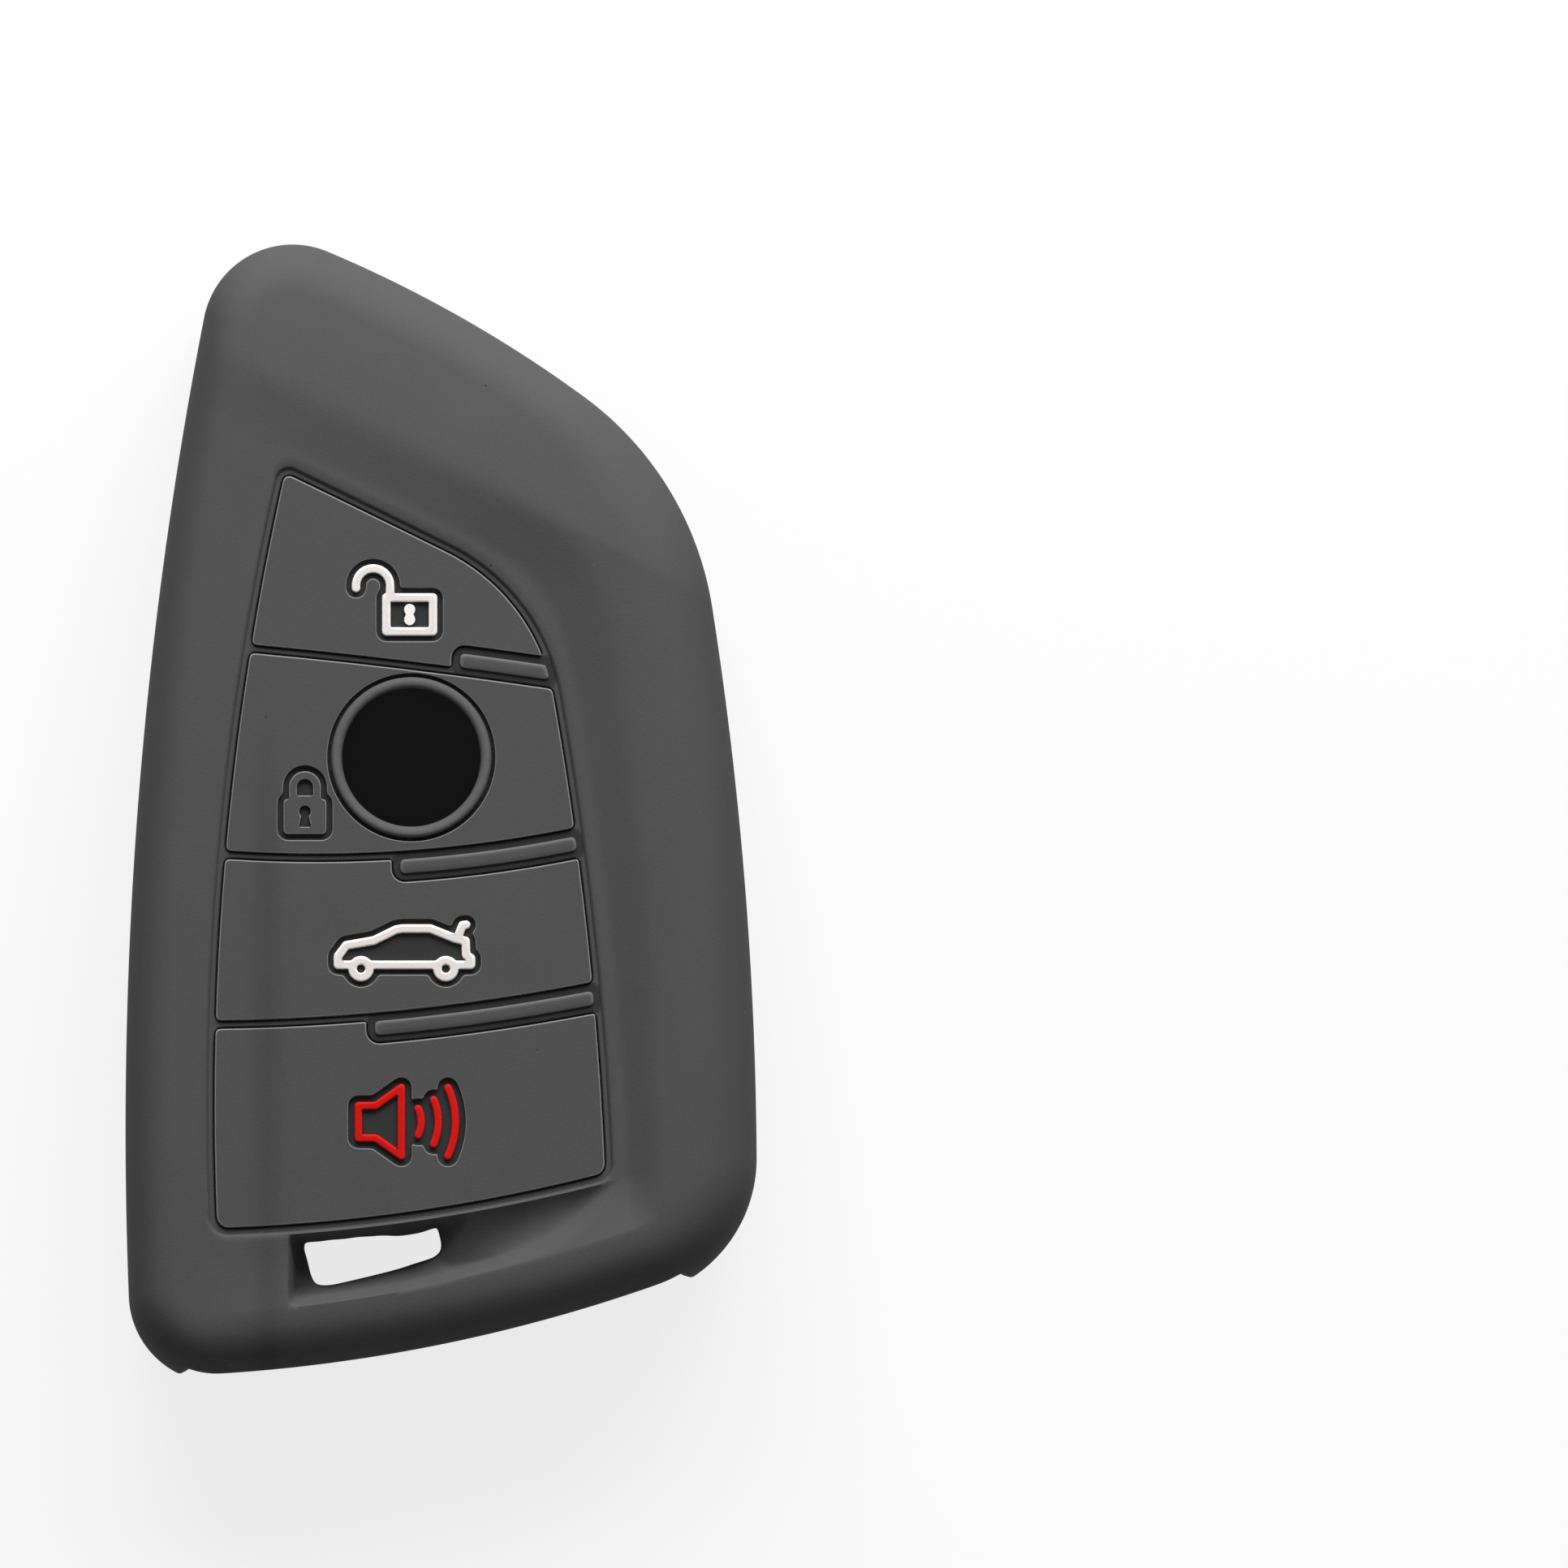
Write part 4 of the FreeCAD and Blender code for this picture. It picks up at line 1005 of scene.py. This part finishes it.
def push_pad(name):
    """One pad: its edge, its pockets sunk into the top, a flat underside."""
    loops = pad_plans[name]
    pad = Patches()
    top = [carry(pad, loops[0], PAD_EDGE, field_ground)[-1]]
    under = [loops[0]]
    for loop in loops[1:]:
        seat = np.hypot(*(loop.mean(0) - window_centre)) < SEAT_NEAR
        loop = circle(SEAT_RADIUS, len(loop)) if seat else loop
        pocket = carry(pad, loop, POCKET_EDGE, field_ground, -1)
        top.append(pocket[0])
        if seat:
            window = circle(WINDOW_RADIUS, len(loop))
            # Painted shade in the bead's seat and down the window's bore.
            cap(pad, [pocket[-1], window], field_ground, BEAD_SEAT, shade=1.0)
            carry(pad, window, [(0, BEAD_SEAT, 0, 1), (0, PAD_THICKNESS, 0, 1)], field_ground)
            under.append(window)
        else:
            cap(pad, [pocket[-1]], field_ground, POCKET_DEPTH, shade=POCKET_SHADE)
    cap(pad, top, field_ground, 0, PAD_SPACING)
    cap(pad, under, field_ground, PAD_THICKNESS, shade=1.0)
    pad.piece("push_" + name, name.replace("_pad", "_button"), "grey_silicone", name)


for name in pad_plans:
    push_pad(name)

# %% [markdown]
# ## The floor of the moat
# Round each pad the silicone thins to a web that flexes when the pad is pressed.
# The four webs and the shelves between them make one floor, a plate with four pad-shaped holes.
# Beside the ribs the moat is a narrow channel that gets little light, so its floor is painted with dark
# shade there; the rest of the floor and the slits round the pads get fainter painted shade.

# %% Moat floor
FLOOR_DROP = 0.3
WEB_FOOT = 1.1
WEB_CLEARANCE = 0.03
PLATE_REACH = 0.05
FLOOR_SPACING = 0.22
SLIT_EDGE = [(0, WEB_FOOT, 0, 1), (0, 0.5, 0, 1), (0.03, 0.42, 0, 1), (0.08, 0.35, 0, 0.8),
             (0.14, 0.31, 0, 0.35), (0.2, FLOOR_DROP, 0, 0)]
RIB_SOFTNESS = 0.1
FLOOR_SHADE = 0.1
CHANNEL_SHADE = 0.75
CHANNEL_REACH = 0.8
CHANNEL_FADE = 0.15
rib_plans = {name: soft_plan(name, PAD_STEP, RIB_SOFTNESS)[0]
             for name in ("upper_rib", "middle_rib", "lower_rib")}
rib_points = np.concatenate(list(rib_plans.values()))


def channel_painted_shade(x, y):
    """Painted shade of the moat floor: dark within reach of a rib, faint elsewhere."""
    gap = np.hypot(x[..., None] - rib_points[:, 0], y[..., None] - rib_points[:, 1]).min(axis=-1)
    return FLOOR_SHADE + (CHANNEL_SHADE - FLOOR_SHADE) * rounded_ramp((CHANNEL_REACH - gap) / CHANNEL_FADE)


plate = Patches()
plate_rim = outline_rows(RIM_INSETS[None, :] + PLATE_REACH, RIM_CORNERS[None, :] - PLATE_REACH, np.ones(1))
plate_rim = plate_rim[0, ::-1]
holes = [loops[0] - WEB_CLEARANCE * inward(loops[0]) for loops in pad_plans.values()]
carry(plate, plate_rim, [(0, FLOOR_DROP, 0, 0), (0, WEB_FOOT, 0, 0)], panel_height, painted_shade_at=channel_painted_shade)
slits = [carry(plate, loop, SLIT_EDGE, panel_height, -1, channel_painted_shade)[-1] for loop in holes]
cap(plate, [plate_rim] + slits, panel_height, FLOOR_DROP, FLOOR_SPACING, painted_shade_at=channel_painted_shade)
cap(plate, [plate_rim] + holes, panel_height, WEB_FOOT)
plate.piece("flexing_web", "sleeve", "grey_silicone", "unlock_web", "lock_web", "boot_web", "alarm_web")

# %% [markdown]
# ## Ribs
# Three low bars lie in widened stretches of the moat. A thumb finds the pads by them.
# Their section is a flat arch, so the profile rounds off over most of its width.

# %% Ribs
# The lower walls and the bottom of each rib are painted with shade.
RIB_EDGE = [(0, 0.72, 0, 1), (0, 0.34, 0, 0.9), (0.015, 0.2, 0, 0.3), (0.05, 0.12, 0.35, 0),
            (0.1, 0.085, 0.35, 0), (0.2, 0.05, 0.12, 0), (0.3, 0.03, 0, 0), (0.4, 0.02, 0, 0)]
for name, loop in rib_plans.items():
    rib = Patches()
    top = carry(rib, loop, RIB_EDGE, field_ground)[-1]
    cap(rib, [top], field_ground, RIB_EDGE[-1][1])
    cap(rib, [loop], field_ground, RIB_EDGE[0][1], shade=1.0)
    rib.piece("tactile_" + name, "sleeve", "grey_silicone", name)

# %% [markdown]
# ## Bead of the window
# A round bead frames the window. It is a lathe shape: one section carried round the window's middle.

# %% Window bead
BEAD_WIDTH = 1.1
BEAD_RISE = 0.25
BEAD_HEIGHT = 0.5
BEAD_SHAPE = 0.65
BEAD_HIGHLIGHT = 0.2
BEAD_COLUMNS = 200
BEAD_STEPS = 15
bead_turn = np.linspace(0, np.pi, BEAD_STEPS)
bead_reach = -BEAD_WIDTH / 2 * (1 + np.cos(bead_turn))
bead_drop = BEAD_HEIGHT - BEAD_RISE - BEAD_HEIGHT * np.sin(bead_turn) ** BEAD_SHAPE
# Painted highlight along the bead's crown; the seat rows at both ends are painted with shade.
bead_highlight = BEAD_HIGHLIGHT * np.sin(bead_turn) ** 2
bead_profile = [(-BEAD_WIDTH, BEAD_SEAT, 0, 1)]
bead_profile += [(a, b, c, 0) for a, b, c in zip(bead_reach, bead_drop, bead_highlight)]
bead_profile += [(0, BEAD_SEAT, 0, 1), (-BEAD_WIDTH, BEAD_SEAT, 0, 1)]
bead = Patches()
carry(bead, circle(WINDOW_RADIUS, BEAD_COLUMNS), bead_profile, field_ground)
bead.piece("emblem_window_bead", "lock_button", "grey_silicone", "window_bead")

# %% [markdown]
# ## Pictograms
# The strokes of the pictograms stand in their pockets, almost level with the pad, with rounded edges.
# Two are filled with white silicone and one with red. The lock is plain, in the silicone of the cover.

# %% Pictograms
ICON_STEP = 0.05
ICON_SOFTNESS = 0.05
KEYHOLE_SOFTNESS = 0.15
ICON_SINK = 0.02
ICON_FOOT = POCKET_DEPTH + ICON_SINK
ICON_EDGE = [(0, ICON_FOOT, 1, 0), (-0.03, 0.24, 1, 0), (-0.02, 0.15, 1, 0), (0.015, 0.09, 1, 0),
             (0.07, 0.06, 1, 0), (0.15, 0.05, 0.6, 0), (0.21, 0.05, 0.2, 0)]
# The lock's lower walls are painted with shade.
LOCK_EDGE = [(0, ICON_FOOT, 0, 1), (0, 0.2, 0, 0.5), (0.012, 0.11, 0.4, 0), (0.035, 0.06, 1, 0),
             (0.07, 0.05, 0.6, 0), (0.09, 0.05, 0, 0)]
KEYHOLE_REACH = 0.3
KEYHOLE_EDGE = [(KEYHOLE_REACH * reach, drop, 1, 0) for reach, drop, rim, shade in LOCK_EDGE]
FINE_EDGES = {"lock_icon": LOCK_EDGE, "unlock_keyhole": KEYHOLE_EDGE}
ICONS = {
    "unlock_icon": ("unlock_button", "white_fill"), "unlock_keyhole": ("unlock_button", "white_fill"),
    "lock_icon": ("lock_button", "grey_silicone"), "boot_icon": ("boot_button", "white_fill"),
    "alarm_horn": ("alarm_button", "red_fill"), "alarm_waves": ("alarm_button", "red_fill"),
}
for name, (body, finish) in ICONS.items():
    loops = soft_plan(name, ICON_STEP, KEYHOLE_SOFTNESS if name == "unlock_keyhole" else ICON_SOFTNESS)
    solids = [[loop] for loop in loops] if name == "alarm_waves" else [loops]
    edge = FINE_EDGES.get(name, ICON_EDGE)
    icon = Patches()
    for group in solids:
        tops = [carry(icon, group[0], edge, field_ground)[-1]]
        tops += [carry(icon, loop, edge, field_ground, -1)[-1] for loop in group[1:]]
        cap(icon, tops, field_ground, edge[-1][1], rim=edge[-1][2])
        cap(icon, group, field_ground, edge[0][1], rim=edge[0][2], shade=edge[0][3])
    icon.piece(name + "_strokes", body, finish, name)

# %% [markdown]
# ## Finishes
# Matte silicone is never one flat colour. It has a fine grain, slow patches where it was wiped or touched,
# and a few specks of dust. All three fills share them, so they are one node group.
# It reads the coordinates of the piece and gives a tone to multiply by, a roughness and a height.

# %% Helpers that add nodes
def new_group(name, inputs, outputs):
    """Empty shader group with named sockets, each given as its label and its kind."""
    group = bpy.data.node_groups.new(name, "ShaderNodeTree")
    for direction, sockets in (("INPUT", inputs), ("OUTPUT", outputs)):
        for label, kind in sockets:
            group.interface.new_socket(label, in_out=direction, socket_type="NodeSocket" + kind)
    return group


def add_node(tree, kind, links=(), **settings):
    """Adds a node, sets its properties and links or sets the sockets given as (socket, source) pairs."""
    node = tree.nodes.new(kind if kind.startswith("NodeGroup") else "ShaderNode" + kind)
    for key, value in settings.items():
        setattr(node, key, value)
    for socket, source in links:
        if isinstance(source, bpy.types.NodeSocket):
            tree.links.new(source, node.inputs[socket])
        else:
            node.inputs[socket].default_value = source
    return node


def maths(tree, operation, a, b, c=0.0):
    """A Math node's output for two or three values or sockets."""
    return add_node(tree, "Math", [(0, a), (1, b), (2, c)], operation=operation).outputs[0]


# %% [markdown]
# Two noises make the slow patches and the grain. Cells with a small dot in a few of them make the specks,
# some pale and some dark. Each is centred on zero and added to a tone of one by its own strength.

# %% A group for moulded silicone
MOTTLE_SCALE = 140.0
MOTTLE_DETAIL = 3.0
GRAIN_SCALE = 5200.0
GRAIN_DETAIL = 2.0
NOISE_MIDDLE = 0.5
SPECK_SCALE = 420.0
SPECK_RADIUS = 0.045
SPECK_SHARE = 0.06
STRENGTHS = ("Mottle", "Grain", "Specks", "Roughness")

skin = new_group("moulded_skin", [("Coordinates", "Vector")] + [(label, "Float") for label in STRENGTHS],
                 [("Tone", "Float"), ("Roughness", "Float"), ("Height", "Float")])
given = add_node(skin, "NodeGroupInput")
place = given.outputs["Coordinates"]
mottle = add_node(skin, "TexNoise", [("Vector", place), ("Scale", MOTTLE_SCALE), ("Detail", MOTTLE_DETAIL)])
grain = add_node(skin, "TexNoise", [("Vector", place), ("Scale", GRAIN_SCALE), ("Detail", GRAIN_DETAIL)])
cells = add_node(skin, "TexVoronoi", [("Vector", place), ("Scale", SPECK_SCALE)])
chosen = add_node(skin, "SeparateColor", [(0, cells.outputs["Color"])])
near = maths(skin, "LESS_THAN", cells.outputs["Distance"], SPECK_RADIUS)
pale = maths(skin, "MULTIPLY", near, maths(skin, "LESS_THAN", chosen.outputs[0], SPECK_SHARE))
dark = maths(skin, "MULTIPLY", near, maths(skin, "LESS_THAN", chosen.outputs[1], SPECK_SHARE))
specks = maths(skin, "SUBTRACT", pale, dark)
slow = maths(skin, "SUBTRACT", mottle.outputs[0], NOISE_MIDDLE)
fine = maths(skin, "SUBTRACT", grain.outputs[0], NOISE_MIDDLE)
tone = maths(skin, "MULTIPLY_ADD", slow, given.outputs["Mottle"], 1.0)
tone = maths(skin, "MULTIPLY_ADD", fine, given.outputs["Grain"], tone)
tone = maths(skin, "MULTIPLY_ADD", specks, given.outputs["Specks"], tone)
rough = maths(skin, "MULTIPLY_ADD", slow, given.outputs["Mottle"], given.outputs["Roughness"])
add_node(skin, "NodeGroupOutput", [("Tone", tone), ("Roughness", rough), ("Height", grain.outputs[0])])
print("shared group:", skin.name, "nodes:", len(skin.nodes))

# %% [markdown]
# Each material mixes three tones by the two painted values, multiplies by the group's tone,
# and hands colour, roughness and bump to one Principled shader. The three tones are its face,
# a paler one for the rim line and painted light, and a darker one for painted shade.
# The shine is kept low, because a matte moulding stays dark where its edges turn away.

# %% Materials
BUMP_HEIGHT = 0.000012
SPECULAR = 0.05
MIX_SHARE, MIX_FIRST, MIX_SECOND, MIX_RESULT = 0, 6, 7, 2


def srgb(*channels):
    """Linear colour of 8-bit display values: the standard curve, a short line and then a power."""
    share = np.array(channels) / 255
    linear = np.where(share <= 0.04045, share / 12.92, ((share + 0.055) / 1.055) ** 2.4)
    return (*linear.tolist(), 1.0)


def silicone(name, face, rim, hollow, strengths):
    """Material of one silicone: tones of its face, its pale rim line and painted light, its painted shade,
    and the strengths of its skin.
    """
    material = bpy.data.materials.new(name)
    material.use_nodes = True
    tree = material.node_tree
    shader = tree.nodes["Principled BSDF"]
    coordinates = add_node(tree, "TexCoord").outputs["Object"]
    sockets = [("Coordinates", coordinates), *strengths.items()]
    moulded = add_node(tree, "Group", sockets, node_tree=skin).outputs
    colour = face
    for label, tone in (("rim", rim), ("shade", hollow)):
        mask = add_node(tree, "Attribute", attribute_name=label).outputs["Fac"]
        tones = [(MIX_SHARE, mask), (MIX_FIRST, colour), (MIX_SECOND, tone)]
        colour = add_node(tree, "Mix", tones, data_type="RGBA").outputs[MIX_RESULT]
    toned = add_node(tree, "VectorMath", [(0, colour), ("Scale", moulded["Tone"])], operation="SCALE")
    bump = add_node(tree, "Bump", [("Height", moulded["Height"]), ("Distance", BUMP_HEIGHT)])
    tree.links.new(toned.outputs[0], shader.inputs["Base Color"])
    tree.links.new(moulded["Roughness"], shader.inputs["Roughness"])
    tree.links.new(bump.outputs[0], shader.inputs["Normal"])
    shader.inputs["Specular IOR Level"].default_value = SPECULAR
    return material


# The rim grey is the pale line and painted light; the darker grey is painted shade.
FACE_GREY, RIM_GREY, PAINTED_SHADE_GREY = srgb(80, 80, 80), srgb(140, 140, 141), srgb(40, 40, 41)
FACE_WHITE, RIM_WHITE = srgb(224, 217, 213), srgb(246, 239, 235)
FACE_RED, RIM_RED = srgb(200, 22, 18), srgb(214, 28, 24)
GREY_SKIN = {"Mottle": 0.1, "Grain": 0.14, "Specks": 0.5, "Roughness": 0.8}
WHITE_SKIN = {"Mottle": 0.06, "Grain": 0.05, "Specks": 0.15, "Roughness": 0.6}
RED_SKIN = {"Mottle": 0.1, "Grain": 0.06, "Specks": 0.2, "Roughness": 0.6}
materials = {
    "grey_silicone": silicone("matte_grey_silicone", FACE_GREY, RIM_GREY, PAINTED_SHADE_GREY, GREY_SKIN),
    "white_fill": silicone("white_silicone_fill", FACE_WHITE, RIM_WHITE, FACE_WHITE, WHITE_SKIN),
    "red_fill": silicone("red_silicone_fill", FACE_RED, RIM_RED, FACE_RED, RED_SKIN),
}
for finish, pieces in pieces_by_finish.items():
    for piece in pieces:
        piece.data.materials.append(materials[finish])
    print(materials[finish].name, "on", len(pieces), "pieces")

# %% [markdown]
# ## Floor and light
# The cover lies on plain white. Seen by the camera the floor is white of its own, because more light on it
# would also bleach the cover. A share of plain diffuse stays, and keeps the shadow.
# For rays that carry light the floor is a duller grey, so that it doesn't light the sides from below.

# %% Floor
FLOOR_SIZE = 3.0
FLOOR_GAP = 0.00005
FLOOR_SHARE = 0.8
WHITE = (1.0, 1.0, 1.0, 1.0)
FLOOR_GREY = (0.9, 0.9, 0.9, 1.0)
DULL_GREY = (0.4, 0.4, 0.4, 1.0)
floor_mesh = bpy.data.meshes.new("floor")
half = FLOOR_SIZE / 2
corners = [(-half, -half, 0), (half, -half, 0), (half, half, 0), (-half, half, 0)]
floor_mesh.from_pydata(corners, [], [(0, 1, 2, 3)])
floor = bpy.data.objects.new("floor", floor_mesh)
floor.location.z = cad_box[0][2] - FLOOR_GAP
bpy.context.scene.collection.objects.link(floor)


def seen_ray(tree):
    """1 for camera, glossy and transmission rays, 0 for the rest: the largest of the three."""
    path = add_node(tree, "LightPath")
    either = maths(tree, "MAXIMUM", path.outputs["Is Camera Ray"], path.outputs["Is Glossy Ray"])
    return maths(tree, "MAXIMUM", either, path.outputs["Is Transmission Ray"])


paper = bpy.data.materials.new("white_floor")
paper.use_nodes = True
tree = paper.node_tree
tree.nodes.clear()
plain = add_node(tree, "BsdfDiffuse", [("Color", FLOOR_GREY)])
dull = add_node(tree, "BsdfDiffuse", [("Color", DULL_GREY)])
glow = add_node(tree, "Emission", [("Color", WHITE), ("Strength", 1.0)])
shown = add_node(tree, "MixShader", [(0, FLOOR_SHARE), (1, plain.outputs[0]), (2, glow.outputs[0])])
by_ray = add_node(tree, "MixShader", [(0, seen_ray(tree)), (1, dull.outputs[0]), (2, shown.outputs[0])])
add_node(tree, "OutputMaterial", [(0, by_ray.outputs[0])])
floor_mesh.materials.append(paper)
print("floor at height:", floor.location.z)

# %% [markdown]
# In the photograph, what faces the tip is bright and what faces away is dark, with soft shades between.
# One broad lamp does that: it stands beyond the tip, a good third of a metre up, and looks at the cover.
# A weak even world fills the shades.

# %% World and lamp
AMBIENT = 0.2
KEY_POWER = 8.8
KEY_SIZE = (0.8, 0.4)
KEY_PLACE = Vector((0.06, 0.575, 0.37))
world = bpy.data.worlds.new("studio")
world.use_nodes = True
bpy.context.scene.world = world
tree = world.node_tree
tree.nodes.clear()
shade = add_node(tree, "Background", [(0, WHITE), (1, AMBIENT)])
bright = add_node(tree, "Background", [(0, WHITE), (1, 1.0)])
by_ray = add_node(tree, "MixShader", [(0, seen_ray(tree)), (1, shade.outputs[0]), (2, bright.outputs[0])])
add_node(tree, "OutputWorld", [(0, by_ray.outputs[0])])

key_data = bpy.data.lights.new("soft_key", "AREA")
key_data.shape = "RECTANGLE"
key_data.size, key_data.size_y = KEY_SIZE
key_data.energy = KEY_POWER
key = bpy.data.objects.new("soft_key", key_data)
key.location = KEY_PLACE
key.rotation_euler = (-KEY_PLACE).to_track_quat("-Z", "Y").to_euler()
bpy.context.scene.collection.objects.link(key)
bpy.context.scene.view_settings.view_transform = "Standard"
print("lamp:", key_data.energy, "world:", AMBIENT)

# %% [markdown]
# ## Close
# The size of the frame is printed.

# %% Print the size of the frame
print("frame box:", cad_box)
